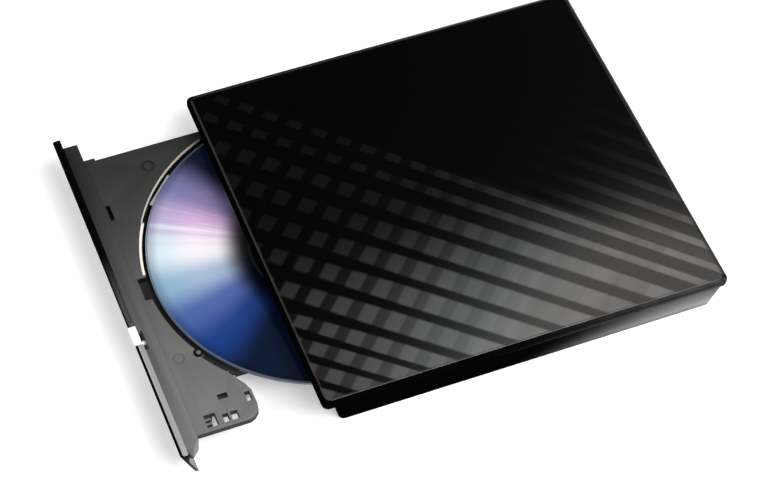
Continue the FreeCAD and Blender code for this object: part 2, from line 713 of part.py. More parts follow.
# ---- tray ----------------------------------------------------------------------------------
def tray_outline():
    """The tray's top outline, with the ear at the front right."""
    right = TRAY_RIGHT
    back = EAR_BACK
    return [(-TRAY_LEFT, BEAM_BACK), (right, BEAM_BACK), (right, back - 4.2), (right - 0.8, back - 2.2),
            (right - 2.6, back - 0.5), (right - 5.0, back), (right - 11.0, back),
            (right - 14.2, back - 1.2), (TRAY_CUT_X + 1.0, back - 4.9), (TRAY_CUT_X, back - 4.9),
            (TRAY_CUT_X, DISC_Y + CUT_BACK), (TRAY_LEFT, DISC_Y + CUT_BACK), (TRAY_LEFT, TRAY_REAR),
            (-TRAY_LEFT, TRAY_REAR)]


def spin_out(shape):
    """Turns a piece drawn along +X from the spindle to the pickup's own direction."""
    turned = shape.copy()
    turned.rotate(Vector(0, 0, 0), Vector(0, 0, 1), SLED_TURN)
    turned.translate(Vector(0, DISC_Y, 0))
    return turned


def damper_places():
    """Centres of the three rubber mounts, measured from the spindle along the pickup's line."""
    low = FRAME_SIDE - 2.5
    return [(-12.0, low), (-12.0, FRAME_SCREW_SIDE + 2.5), (55.0, low)]


def ear_holes():
    """The slots through the ear, as (x0, x1, y0, y1)."""
    y = BEAM_BACK
    right = TRAY_RIGHT - 1.8
    return [(51.0, 54.8, EAR_BACK - 2.8, EAR_BACK - 1.0), (56.9, right, y + 10.5, y + 12.6),
            (56.8, right, y + 13.4, y + 15.9)]


def comb_hole():
    """The comb-shaped slot near the ear's front corner."""
    y = BEAM_BACK + 4.4
    hole = block(55.3, TRAY_RIGHT - 1.6, y, y + 4.0, PLATE_BASE - 1, TRAY_TOP + 1)
    for index in range(2):
        x = 56.9 + 1.7 * index
        hole = hole.cut(block(x, x + 0.8, y - 1, y + 2.1, PLATE_BASE - 2, TRAY_TOP + 2))
    return hole


def front_bores(y0, y1):
    """Bores for the button's stem, the light pipe and the release pinhole."""
    return [pin_y(STEM_BORE, BUTTON_X, STEM_Z, y0, y1), pin_y(PIPE_BORE, PIPE_X, PIPE_Z, y0, y1),
            pin_y(PINHOLE_RADIUS, PINHOLE_X, PINHOLE_Z, y0, y1)]


def rim_stop_place():
    """Centre of the round stop in the recess's rim."""
    return RIM_STOP_X, EAR_BACK - RIM_STOP_SETBACK


def deck_marks():
    """Cuts in the tray's upper side: slot, moulding marks, rim groove and finger notch."""
    top = TRAY_TOP + 1
    x, y = rim_stop_place()
    recess_front = DISC_Y - RECESS_RADIUS
    slot = block(-40.3, -33.4, BEAM_BACK + 0.9, BEAM_BACK + 2.5, PLATE_BASE, top)
    blind = block(48.9, 51.0, BEAM_BACK + 11.5, BEAM_BACK + 15.0, PLATE_BASE + 0.8, top)
    ring = tube(2.7, 1.3, -52.3, EAR_BACK - 2.5, TRAY_TOP - 0.6, top)
    mark = tube(2.1, 1.6, 30.5, BEAM_BACK + 4.2, TRAY_TOP - 0.2, top)
    stop = post(1.9, x, y, PLATE_BASE + 0.4, top)
    groove = tube(RECESS_RADIUS + RIM_GROOVE, RECESS_RADIUS - 1, 0, DISC_Y, PLATE_BASE + 0.4, top)
    groove = groove.common(block(RIM_STOP_X + 2.0, TRAY_CUT_X, y - 3, y + 9, 0, top))
    notch = block(NOTCH_LEFT, NOTCH_RIGHT, recess_front - NOTCH_DEPTH, recess_front + 1, RECESS_FLOOR, top)
    return [slot, blind, ring, mark, stop, groove, notch]


def recess_lip():
    """The low ledge inside the recess, left of the finger notch."""
    ring = tube(RECESS_RADIUS + 0.2, RECESS_RADIUS - LIP_WIDTH, 0, DISC_Y, RECESS_FLOOR - 0.1, TRAY_TOP)
    return ring.common(block(-29.0, NOTCH_LEFT, DISC_Y - RECESS_RADIUS - 1, DISC_Y - 50, 0, TRAY_TOP + 1))


def tray_ribs():
    """The ribs and rear blocks under the tray."""
    half = BODY_HALF
    low = RIB_BASE
    top = PLATE_BASE + 0.1
    parts = [block(-half, -half + TRAY_RIB, BEAM_BACK + 1, SHOE_FRONT + 1, low, top),
             block(TRAY_CUT_X - 1 - TRAY_RIB, TRAY_CUT_X - 1, EAR_BACK - 2, DISC_Y + CUT_BACK + 10,
                   low, FLOOR_BASE + 0.1),
             block(-half, half - 1.5, BEAM_BACK + 0.5, BEAM_BACK + 0.5 + TRAY_RIB, low, top),
             block(-half, TRAY_CUT_X - 1, TRAY_REAR - TRAY_RIB, TRAY_REAR, low, FLOOR_BASE + 0.1)]
    shoe_block = block(half - 5.0, half, SHOE_FRONT, SHOE_REAR, low, top)
    shoe = block(half - 1.0, SHOE_OUT, SHOE_FRONT, SHOE_REAR, SHOE_BASE, SHOE_TOP)
    for piece in (shoe_block, shoe):
        parts += [piece, mirror_x(piece)]
    return parts


def tray_body():
    """The sliding tray: plate, disc recess, ear, ribs, shoes and openings."""
    outline = tray_outline()
    plate = prism_z(outline, PLATE_BASE, TRAY_TOP)
    under = block(-BODY_HALF, TRAY_CUT_X, BEAM_BACK + 0.8, TRAY_REAR, FLOOR_BASE, PLATE_BASE)
    tray = fuse([plate, under])
    recess = post(RECESS_RADIUS, 0, DISC_Y, RECESS_FLOOR, TRAY_TOP + 5)
    tray = tray.cut(recess)
    step = block(-TRAY_LEFT - TRAY_STEP, -TRAY_LEFT + 1, BEAM_BACK, BEAM_BACK + TRAY_STEP_DEPTH,
                 PLATE_BASE, TRAY_TOP - 0.2)
    tray = fuse([tray, step, recess_lip()] + tray_ribs())
    window = block(16.0, RECESS_RADIUS - 0.1, -8.0, 8.0, FLOOR_BASE - 1, RECESS_FLOOR + 1)
    tray = tray.cut(spin_out(window))
    tray = tray.cut(post(ROTOR_RADIUS + 4.5, 0, DISC_Y, FLOOR_BASE - 1, RECESS_FLOOR + 1))
    for u, v in damper_places():
        bore = post(DAMPER_SCREW_RADIUS + 0.02, u, v, FLOOR_BASE - 1, RECESS_FLOOR - 0.15)
        tray = tray.cut(spin_out(bore))
    for x0, x1, y0, y1 in ear_holes():
        tray = tray.cut(block(x0, x1, y0, y1, PLATE_BASE - 1, TRAY_TOP + 1))
    for cutter in [comb_hole()] + deck_marks() + front_bores(0, BEAM_BACK + 4):
        tray = tray.cut(cutter)
    low = RIB_BASE - 1
    high = TRAY_TOP - 0.6
    y = BEAM_BACK + 1.2
    tray = tray.cut(block(BUTTON_X - 2.7, BUTTON_X + 2.7, y, y + 2.7, low, high))
    tray = tray.cut(block(PIPE_X - 1.4, PIPE_X + 1.4, y, y + 2.0, low, high))
    tray = tray.cut(block(-11, 25, BEAM_BACK + 0.4, BEAM_BACK + 2, low, FLOOR_BASE))
    tray = tray.fuse(post(LATCH_PIVOT, LATCH_X, LATCH_Y, RIB_BASE + 0.2, PLATE_BASE + 0.2))
    peg = post(0.8, *rim_stop_place(), PLATE_BASE, TRAY_TOP + 0.2)
    return tray.fuse(peg).removeSplitter()


def slant(z):
    """How far the bezel's front face is behind its top edge at a height."""
    return (BEZEL_TOP - z) / (BEZEL_TOP - BEZEL_BOTTOM) * BEZEL_SLANT


def bezel_front(z):
    """The bezel's front face at a height."""
    return -BEZEL_FRONT + slant(z)


def bezel_back(z):
    """The bezel's back face at a height: upright above the beam, slanted below it."""
    share = max(0.0, (BEAM_TOP - z) / (BEAM_TOP - BEZEL_BOTTOM))
    foot = bezel_front(BEZEL_BOTTOM) + BEZEL_FOOT
    return STRIP_BACK + share * (foot - STRIP_BACK)


def bezel_layer(x0, x1, z0, z1, front_gap, depth):
    """A slanted slab in the bezel's thickness, starting a depth behind its front face."""
    points = [(bezel_front(z0) + front_gap, z0), (bezel_front(z0) + front_gap + depth, z0),
              (bezel_front(z1) + front_gap + depth, z1), (bezel_front(z1) + front_gap, z1)]
    return prism_x(points, x0, x1)


def front_bezel():
    """The gloss front plate, slanted back towards its lower edge."""
    z0 = BEZEL_BOTTOM
    z1 = BEZEL_TOP
    points = [(bezel_front(z0), z0), (bezel_back(z0), z0), (STRIP_BACK, BEAM_TOP), (STRIP_BACK, z1),
              (bezel_front(z1), z1)]
    plate = prism_x(points, -HALF_CASE, HALF_CASE)
    middle = bezel_front((z0 + z1) / 2) + 0.5
    plate = round_edges(plate, 0.9, lambda edge: abs(abs(edge.CenterOfMass.x) - HALF_CASE) < 0.01
                        and edge.BoundBox.ZLength > 5 and edge.CenterOfMass.y < middle)
    seat_z = z1 - STRIP_DEPTH
    seat = strip_outline(0.03, seat_z, z1 + 1)
    seat = seat.fuse(block(STRIP_LEFT - 1, STRIP_RIGHT - STRIP_CORNER, STRIP_BACK - 0.3, 1, seat_z, z1 + 1))
    half = CHANNEL_WIDTH / 2
    centre = BEZEL_THICKNESS / 2 - BEZEL_FRONT
    channel = rounded_block(-STRIP_RIGHT, BUTTON_LEFT - 1.6, centre - half, centre + half,
                            z1 - CHANNEL_DEPTH, z1 + 1, half - 0.05)
    low = z1 - BUTTON_HEIGHT - BUTTON_GAP
    gap = BUTTON_GAP
    pocket = block(BUTTON_LEFT - gap, BUTTON_RIGHT + gap, -2 * BEZEL_FRONT, BEAM_BACK, low, z1 + 1)
    for cutter in [seat, channel, pocket] + front_bores(-2 * BEZEL_FRONT, BEAM_BACK):
        plate = plate.cut(cutter)
    return plate


def strip_outline(gap, z0, z1):
    """The chrome strip's shape with a gap round it: square at the button, rounded at the right."""
    front = STRIP_BACK - STRIP_WIDTH
    right = STRIP_RIGHT + gap
    shape = rounded_block(STRIP_LEFT - 5, right, front - gap, STRIP_BACK + gap, z0, z1, STRIP_CORNER)
    return shape.common(block(STRIP_LEFT - gap, STRIP_RIGHT + 1, -2 * BEZEL_FRONT, 1, z0, z1))


def chrome_strip():
    """The bright strip let into the bezel's top edge."""
    return strip_outline(0, BEZEL_TOP - STRIP_DEPTH, BEZEL_TOP + 0.08)


def bezel_beam():
    """The bar that joins the bezel to the tray."""
    z0 = BEZEL_BOTTOM
    z1 = BEAM_TOP
    points = [(bezel_back(z0), z0), (BEAM_BACK, z0), (BEAM_BACK, z1), (bezel_back(z1), z1)]
    beam = prism_x(points, -BEAM_LEFT, BEAM_RIGHT)
    corner = prism_z([(BEAM_RIGHT - 2.6, BEAM_BACK + 0.1), (BEAM_RIGHT + 1, BEAM_BACK - 3.6),
                      (BEAM_RIGHT + 1, BEAM_BACK + 1)], z0 - 1, z1 + 1)
    low = BEZEL_TOP - BUTTON_HEIGHT - BUTTON_GAP
    travel = block(BUTTON_LEFT - BUTTON_GAP, BUTTON_RIGHT + BUTTON_GAP, -2 * BEZEL_FRONT,
                   STRIP_BACK + CAP_ROOM, low, z1 + 1)
    for cutter in [corner, travel] + front_bores(-2 * BEZEL_FRONT, BEAM_BACK + 1):
        beam = beam.cut(cutter)
    return beam


def eject_button():
    """The button, proud of the bezel, with the stem that reaches the switch."""
    z0 = BEZEL_TOP - BUTTON_HEIGHT
    z1 = BEZEL_TOP
    cap = bezel_layer(BUTTON_LEFT, BUTTON_RIGHT, z0, z1, -BUTTON_PROUD, BUTTON_DEPTH)
    middle = bezel_front((z0 + z1) / 2)
    cap = round_edges(cap, 0.3, lambda edge: edge.CenterOfMass.y < middle and edge.BoundBox.XLength < 0.1
                      and edge.BoundBox.ZLength > 5)
    low = BEAM_TOP + BUTTON_TOP_RISE
    back = bezel_front(z1) + BUTTON_TOP_DEPTH
    inside = BUTTON_DEPTH / 2 - BUTTON_PROUD
    points = [(bezel_front(low) + inside, low), (back, low), (back, z1), (bezel_front(z1) + inside, z1)]
    top = prism_x(points, BUTTON_LEFT, BUTTON_RIGHT)
    stem = pin_y(STEM_RADIUS, BUTTON_X, STEM_Z, bezel_front(STEM_Z), BEAM_BACK + 0.2)
    return fuse([cap, top, stem])


def light_pipe():
    """The clear pipe that carries the activity lamp's light to the bezel."""
    return pin_y(PIPE_RADIUS, PIPE_X, PIPE_Z, bezel_front(PIPE_Z) + 0.05, BEAM_BACK + 1.1)


def front_board():
    """The small board behind the beam, under the tray."""
    return block(-10.5, 24.5, BEAM_BACK + 0.6, BEAM_BACK + 5.6, FLOOR_BASE - BOARD_THICKNESS, FLOOR_BASE)


def eject_switch():
    """The tact switch that the button's stem presses."""
    y = BEAM_BACK + 1.5
    body = block(BUTTON_X - 2.4, BUTTON_X + 2.4, y, y + 2.1, FLOOR_BASE, FLOOR_BASE + 3.2)
    dome = pin_y(0.9, BUTTON_X, STEM_Z, y - 0.15, y + 0.1)
    return body.fuse(dome).removeSplitter()


def activity_lamp():
    """The small lamp at the light pipe's inner end."""
    y = BEAM_BACK + 1.3
    return block(PIPE_X - 1.1, PIPE_X + 1.1, y, y + 1.5, FLOOR_BASE, FLOOR_BASE + 2.9)


def traverse_frame():
    """The steel frame that carries motor, rods and sled, with an ear for each rubber mount."""
    plate = block(FRAME_INNER, FRAME_OUTER, FRAME_SIDE, FRAME_SCREW_SIDE, FRAME_BASE, FRAME_TOP)
    half = ROD_SPREAD + 2
    window = block(FRAME_WINDOW_START, FRAME_WINDOW_END, -half, half, FRAME_BASE - 1, FRAME_TOP + 1)
    plate = plate.cut(window)
    ears = [post(4.0, u, v, FRAME_BASE, FRAME_TOP) for u, v in damper_places()]
    frame = fuse([plate] + ears)
    frame = frame.cut(post(4.5, 0, 0, FRAME_BASE - 1, FRAME_TOP + 1))
    for u in (ROD_CLIP_INNER, ROD_CLIP_OUTER):
        for side in (-1, 1):
            v = side * ROD_SPREAD
            clip = block(u, u + 2.0, v - 2.2, v + 2.2, ROD_Z - 1.4, FRAME_TOP)
            frame = frame.fuse(clip)
            frame = frame.cut(Part.makeCylinder(ROD_RADIUS, 60, Vector(u - 30, v, ROD_Z), Vector(1, 0, 0)))
    bearing = block(63.0, 64.8, SCREW_LINE - 1.8, SCREW_LINE + 1.8, LEAD_Z - 1.1, FRAME_TOP)
    frame = frame.fuse(bearing)
    bore = LEAD_SCREW_RADIUS + RUNNING
    frame = frame.cut(Part.makeCylinder(bore, 10, Vector(60, SCREW_LINE, LEAD_Z), Vector(1, 0, 0)))
    for u, v in damper_places():
        frame = frame.cut(post(DAMPER_NECK + 0.05, u, v, FRAME_BASE - 1, FRAME_TOP + 1))
    left = -BODY_HALF + TRAY_RIB + 0.1
    right = TRAY_CUT_X - TRAY_RIB - 1.2
    room = block(left, right, BEAM_BACK + 2.6, BOARD_FRONT - 0.3, 0, DRIVE_TOP)
    return spin_out(frame.removeSplitter()).common(room).removeSplitter()


def dampers():
    """Three rubber spools between frame and tray."""
    spools = []
    for u, v in damper_places():
        upper = post(DAMPER_RADIUS, u, v, FRAME_TOP, FLOOR_BASE)
        neck = post(DAMPER_NECK, u, v, FRAME_BASE, FRAME_TOP)
        lower = post(DAMPER_RADIUS, u, v, FRAME_BASE - DAMPER_LIP, FRAME_BASE)
        spool = upper.fuse(neck).fuse(lower).removeSplitter()
        spools.append(spin_out(spool.cut(post(DAMPER_SCREW_RADIUS + 0.1, u, v, 0, DRIVE_TOP))))
    return Part.makeCompound(spools)


def damper_screws():
    """Three shoulder screws through the rubber spools."""
    screws = []
    for u, v in damper_places():
        under = FRAME_BASE - DAMPER_LIP
        head = post(2.6, u, v, under - 0.6, under)
        slot = block(u - 1.6, u + 1.6, v - 0.25, v + 0.25, under - 0.9, under - 0.3)
        shank = post(DAMPER_SCREW_RADIUS, u, v, under - 0.1, RECESS_FLOOR - 0.2)
        screws.append(spin_out(head.fuse(shank).removeSplitter().cut(slot)))
    return Part.makeCompound(screws)


def guide_rods():
    """The two polished rods that the sled runs on."""
    rods = []
    start = ROD_CLIP_INNER + 0.1
    for side in (-1, 1):
        rod = pin_x(ROD_RADIUS, side * ROD_SPREAD, ROD_Z, start, start + ROD_LENGTH)
        rods.append(spin_out(rod))
    return Part.makeCompound(rods)


def sled_motor():
    """The flat-sided stepper that turns the lead screw."""
    low = PAN_TOP + PAN_ROOM
    can = block(-7, 3, SCREW_LINE - 3.0, SCREW_LINE + 3.4, low, FRAME_BASE)
    can = can.cut(pin_x(LEAD_SCREW_RADIUS + RUNNING, SCREW_LINE, LEAD_Z, -1, 11))
    nose = block(3, 4.2, SCREW_LINE - 2.0, SCREW_LINE + 2.0, low, FRAME_BASE)
    nose = nose.cut(pin_x(1.4, SCREW_LINE, LEAD_Z, -1, 11))
    return spin_out(can.fuse(nose).removeSplitter())


def lead_screw():
    """The screw that drives the sled, held at the motor and at the frame's outer bearing."""
    return spin_out(pin_x(LEAD_SCREW_RADIUS, SCREW_LINE, LEAD_Z, -0.4, LEAD_SCREW_LENGTH - 0.4))


def spindle_base():
    """The spindle motor's base plate and bearing sleeve."""
    plate = post(12.2, 0, 0, FRAME_TOP, FRAME_TOP + 0.4)
    sleeve = post(3.2, 0, 0, ROD_Z - 1.0, ROTOR_CEILING - 0.4)
    body = plate.fuse(sleeve).removeSplitter()
    return spin_out(body.cut(post(SPINDLE_SHAFT_RADIUS + RUNNING, 0, 0, ROD_Z - 0.2, DRIVE_TOP)))


def stator_core():
    """The stator: a ring of nine poles around the sleeve."""
    low = FRAME_TOP + 0.4
    high = ROTOR_CEILING - 0.4
    core = tube(6.0, 3.2, 0, 0, low, high)
    outer = ROTOR_RADIUS - ROTOR_WALL - 0.6
    rim = tube(outer, outer - POLE_RIM, 0, 0, low, high)
    parts = [core]
    for index in range(POLES):
        spoke = block(5.0, outer - 0.7, -POLE_WIDTH / 2, POLE_WIDTH / 2, low, high)
        pole = rim.common(block(0, ROTOR_RADIUS, -3.2, 3.2, low, high))
        for piece in (spoke, pole):
            turned = piece.copy()
            turned.rotate(Vector(0, 0, 0), Vector(0, 0, 1), 360.0 / POLES * index)
            parts.append(turned)
    return spin_out(fuse(parts))


def latch_solenoid():
    """The small magnet under the ear that frees the tray."""
    x = LATCH_X
    y = BEAM_BACK + 2.4
    half = SOLENOID_HALF
    coil = block(x - half, x + half, y, y + SOLENOID_DEPTH, PLATE_BASE - SOLENOID_HEIGHT, PLATE_BASE)
    plunger_z = PLATE_BASE - SOLENOID_HEIGHT / 2
    plunger = pin_y(1.0, x + 2.0, plunger_z, y + SOLENOID_DEPTH - 0.2, y + SOLENOID_DEPTH + 1.4)
    return coil.fuse(plunger).removeSplitter()


def latch_lever():
    """The hooked lever that catches the lock pin when the tray is shut."""
    low = RIB_BASE + 0.8
    high = low + LATCH_THICKNESS
    hub = post(2.2, LATCH_X, LATCH_Y, low, high)
    arm = block(LATCH_X - 1.0, LATCH_X + 1.0, LATCH_Y, LATCH_Y + 9.6, low, high)
    nose = block(LATCH_X - 2.6, LATCH_X + 1.0, LATCH_Y + 8.2, LATCH_Y + 9.8, low, high)
    lever = fuse([hub, arm, nose])
    return lever.cut(post(LATCH_PIVOT + 0.05, LATCH_X, LATCH_Y, 0, DRIVE_TOP))


def main_board():
    """The drive's main board under the rear of the tray."""
    rear = TRAY_REAR - TRAY_RIB - 0.3
    low = FLOOR_BASE - BOARD_THICKNESS
    return block(-BODY_HALF + 5.4, TRAY_CUT_X - 7, BOARD_FRONT, rear, low, FLOOR_BASE)


def board_parts():
    """Chips and the cable connector under the main board."""
    top = FLOOR_BASE - BOARD_THICKNESS
    y = DISC_Y + 30.0
    rear = TRAY_REAR - 2.2
    places = [(-46, -32, y + 3, y + 17, 1.2), (-22, -12, y + 5, y + 15, 1.0), (0, 7, y + 4, y + 10, 1.0),
              (13, 17, y + 14, y + 20, 0.9), (22, 30, y + 3, y + 8, 1.3), (-27, -7, rear - 3.0, rear, 1.4)]
    return Part.makeCompound([block(x0, x1, y0, y1, top - h, top) for x0, x1, y0, y1, h in places])


def board_shield():
    """The thin steel shield under the main board."""
    low = PAN_TOP + PAN_ROOM
    sheet = 0.3
    left = -BODY_HALF + 5.1
    right = TRAY_CUT_X - 6.4
    shield = block(left, right, BOARD_FRONT, TRAY_REAR - TRAY_RIB - 0.1, low, FLOOR_BASE)
    return shield.cut(block(left + sheet, right - sheet, 0, CASE_DEPTH, low + sheet, DRIVE_TOP))


# ---- spindle and disc ----------------------------------------------------------------------
def spindle_rotor():
    """The rotor bell with its shaft and the seat that the disc rests on."""
    bell = post(ROTOR_RADIUS, 0, DISC_Y, FRAME_TOP + 0.75, DISC_SEAT)
    bell = bell.cut(post(ROTOR_RADIUS - ROTOR_WALL, 0, DISC_Y, 0, ROTOR_CEILING))
    shaft = post(SPINDLE_SHAFT_RADIUS, 0, DISC_Y, ROD_Z, ROTOR_CEILING + 0.2)
    return bell.fuse(shaft).removeSplitter()


def turntable_ring():
    """The rubber ring under the disc."""
    return tube(ROTOR_RADIUS - 0.3, 10.0, 0, DISC_Y, DISC_SEAT, DISC_BASE)


def disc_clamp():
    """The centring hub with three balls that hold the disc."""
    radius = DISC_HOLE_RADIUS - 0.05
    hub_top = DISC_TOP + CLAMP_RISE
    hub = post(radius, 0, DISC_Y, DISC_SEAT, hub_top)
    crown = Part.makeCone(radius, radius - 1.6, CLAMP_HEIGHT, Vector(0, DISC_Y, hub_top))
    parts = [hub, crown]
    reach = DISC_HOLE_RADIUS - 0.7
    for index in range(CLAMP_BALLS):
        angle = math.radians(90 + 360 / CLAMP_BALLS * index)
        centre = Vector(reach * math.cos(angle), DISC_Y + reach * math.sin(angle), DISC_TOP + 0.75)
        parts.append(Part.makeSphere(BALL_RADIUS, centre))
    clamp = fuse(parts)
    return clamp.cut(post(1.2, 0, DISC_Y, DISC_TOP, DISC_TOP + 5))


def optical_disc():
    """A 120 mm disc on the turntable."""
    return tube(DISC_RADIUS, DISC_HOLE_RADIUS, 0, DISC_Y, DISC_BASE, DISC_TOP)


# ---- pickup --------------------------------------------------------------------------------
def pickup_sled():
    """The sled: a body between the rods, two bushings, a fork and the drive finger."""
    low = ROD_Z - SLED_BASE_DROP
    wall = SLED_WALL
    half = ROD_SPREAD - wall + 0.1
    body = block(SLED_REST - 8.0, SLED_REST + 3.4, -half, half, low, FRAME_TOP)
    parts = [body]
    for side, u0, u1 in ((-1, SLED_REST - 8.0, SLED_REST + 3.4), (1, SLED_REST - 5.0, SLED_REST + 1.0)):
        v = side * ROD_SPREAD
        parts.append(block(u0, u1, v - wall, v + wall, low, ROD_Z + 1.35))
    tip = SCREW_LINE - LEAD_SCREW_RADIUS - 0.1
    parts.append(block(SLED_REST - 3.5, SLED_REST + 0.5, ROD_SPREAD + 1.0, tip, LEAD_Z - 0.6, LEAD_Z + 0.6))
    sled = fuse(parts)
    for side in (-1, 1):
        sled = sled.cut(pin_x(ROD_RADIUS + RUNNING, side * ROD_SPREAD, ROD_Z, 0, FRAME_OUTER))
    return spin_out(sled)


def lens_cover():
    """The black cover around the lens, which stands up through the tray's window."""
    cover = rounded_block(SLED_REST - 5.5, SLED_REST + 3.2, -6.6, 6.6, FRAME_TOP, RECESS_FLOOR + 0.2, 1.2)
    return spin_out(cover.cut(post(LENS_OPENING, SLED_REST, 0, FRAME_TOP, DRIVE_TOP)))


def objective_lens():
    """The lens, a low dome on a barrel."""
    barrel = post(LENS_RADIUS, SLED_REST, 0, FRAME_TOP, RECESS_FLOOR + 0.1)
    dome = Part.makeSphere(3.0, Vector(SLED_REST, 0, RECESS_FLOOR + 0.3 - 2.4))
    dome = dome.common(post(1.75, SLED_REST, 0, RECESS_FLOOR, RECESS_FLOOR + 2))
    return spin_out(barrel.fuse(dome).removeSplitter())


# ---- assembly ------------------------------------------------------------------------------
def add(name, shape, moved=0.0):
    """Keeps a node, slid forward to its rest pose and moved to the row's origin."""
    placed = shape.copy()
    placed.translate(Vector(0, -moved - ROW_Y, 0))
    NODES[name] = placed


def build_case():
    """Nodes that stand still."""
    for maker in (bottom_shell, top_cover, rubber_feet, case_screws, cushion_strips, bridge_board,
                  bridge_parts, bridge_screws, usb_socket, usb_tongue, sata_socket, drive_chassis,
                  drive_cover, cover_screws, connector_board, sata_plug, flex_cable):
        add(maker.__name__, maker())
    add("slide_guide_right", slide_guide())
    add("slide_guide_left", mirror_x(slide_guide()))


def build_rails():
    """The rails move half as far as the tray."""
    add("slide_rail_right", slide_rail(), REST_OPEN / 2)
    add("slide_rail_left", mirror_x(slide_rail()), REST_OPEN / 2)


def build_tray():
    """Everything that goes in and out with the tray."""
    for maker in (tray_body, front_bezel, chrome_strip, bezel_beam, eject_button, light_pipe, front_board,
                  eject_switch, activity_lamp, traverse_frame, dampers, damper_screws, guide_rods, sled_motor,
                  lead_screw, spindle_base, stator_core, latch_solenoid, latch_lever, main_board, board_parts,
                  board_shield, spindle_rotor, turntable_ring, disc_clamp, optical_disc, pickup_sled,
                  lens_cover, objective_lens):
        add(maker.__name__, maker(), REST_OPEN)


def main():
    """Builds every node and writes one STEP file for each."""
    build_case()
    build_rails()
    build_tray()
    os.makedirs("parts", exist_ok=True)
    for name, shape in NODES.items():
        shape.exportStep("parts/" + name + ".step")
    print(len(NODES), "nodes written; row origin at y =", round(ROW_Y, 3))


main()
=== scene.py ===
import json
import logging
import math
from dataclasses import dataclass, field
from enum import Enum
from typing import Callable, Iterable, Optional, Sequence, Union

import bpy
from mathutils import Euler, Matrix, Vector

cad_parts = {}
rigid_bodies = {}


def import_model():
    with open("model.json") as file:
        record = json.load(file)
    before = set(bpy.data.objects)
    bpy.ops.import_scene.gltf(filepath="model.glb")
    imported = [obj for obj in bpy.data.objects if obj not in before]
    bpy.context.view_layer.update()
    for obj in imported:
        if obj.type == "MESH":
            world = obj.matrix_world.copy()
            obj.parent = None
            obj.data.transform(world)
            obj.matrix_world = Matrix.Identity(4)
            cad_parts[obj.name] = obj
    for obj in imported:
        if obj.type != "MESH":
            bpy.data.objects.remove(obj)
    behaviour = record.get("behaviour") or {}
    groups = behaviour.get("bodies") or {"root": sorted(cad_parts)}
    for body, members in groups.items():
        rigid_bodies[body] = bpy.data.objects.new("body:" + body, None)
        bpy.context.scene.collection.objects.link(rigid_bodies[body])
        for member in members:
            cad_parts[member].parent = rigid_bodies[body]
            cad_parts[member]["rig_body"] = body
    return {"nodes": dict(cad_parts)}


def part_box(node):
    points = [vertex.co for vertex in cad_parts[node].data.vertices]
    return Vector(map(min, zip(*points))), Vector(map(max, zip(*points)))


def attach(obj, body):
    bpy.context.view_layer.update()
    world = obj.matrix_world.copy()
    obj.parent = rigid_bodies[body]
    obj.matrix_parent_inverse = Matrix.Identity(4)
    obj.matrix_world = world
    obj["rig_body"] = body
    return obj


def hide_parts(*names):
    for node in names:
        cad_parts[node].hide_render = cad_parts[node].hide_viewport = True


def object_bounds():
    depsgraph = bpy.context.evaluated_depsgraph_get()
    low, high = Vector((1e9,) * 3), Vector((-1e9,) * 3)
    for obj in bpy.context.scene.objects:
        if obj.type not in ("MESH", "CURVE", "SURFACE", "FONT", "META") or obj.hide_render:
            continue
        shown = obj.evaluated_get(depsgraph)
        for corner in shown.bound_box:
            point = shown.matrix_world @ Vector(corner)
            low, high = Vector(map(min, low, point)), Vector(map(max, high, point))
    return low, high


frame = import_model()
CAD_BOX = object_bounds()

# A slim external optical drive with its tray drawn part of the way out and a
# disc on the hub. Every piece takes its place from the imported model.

log = logging.getLogger("slim_drive")

MM = 0.001
WELD = 0.002 * MM
FLAT_ANGLE = math.radians(0.4)
SMOOTH_ANGLE = math.radians(32.0)
CREASE_ANGLE = math.radians(28.0)
LENGTH_UNIT_SCALE = 1000.0
DIAGONAL = math.sqrt(0.5)

Colour = tuple[float, float, float]
Term = Union[float, Sequence[float], bpy.types.NodeSocket]


# ---------------------------------------------------------------- node trees


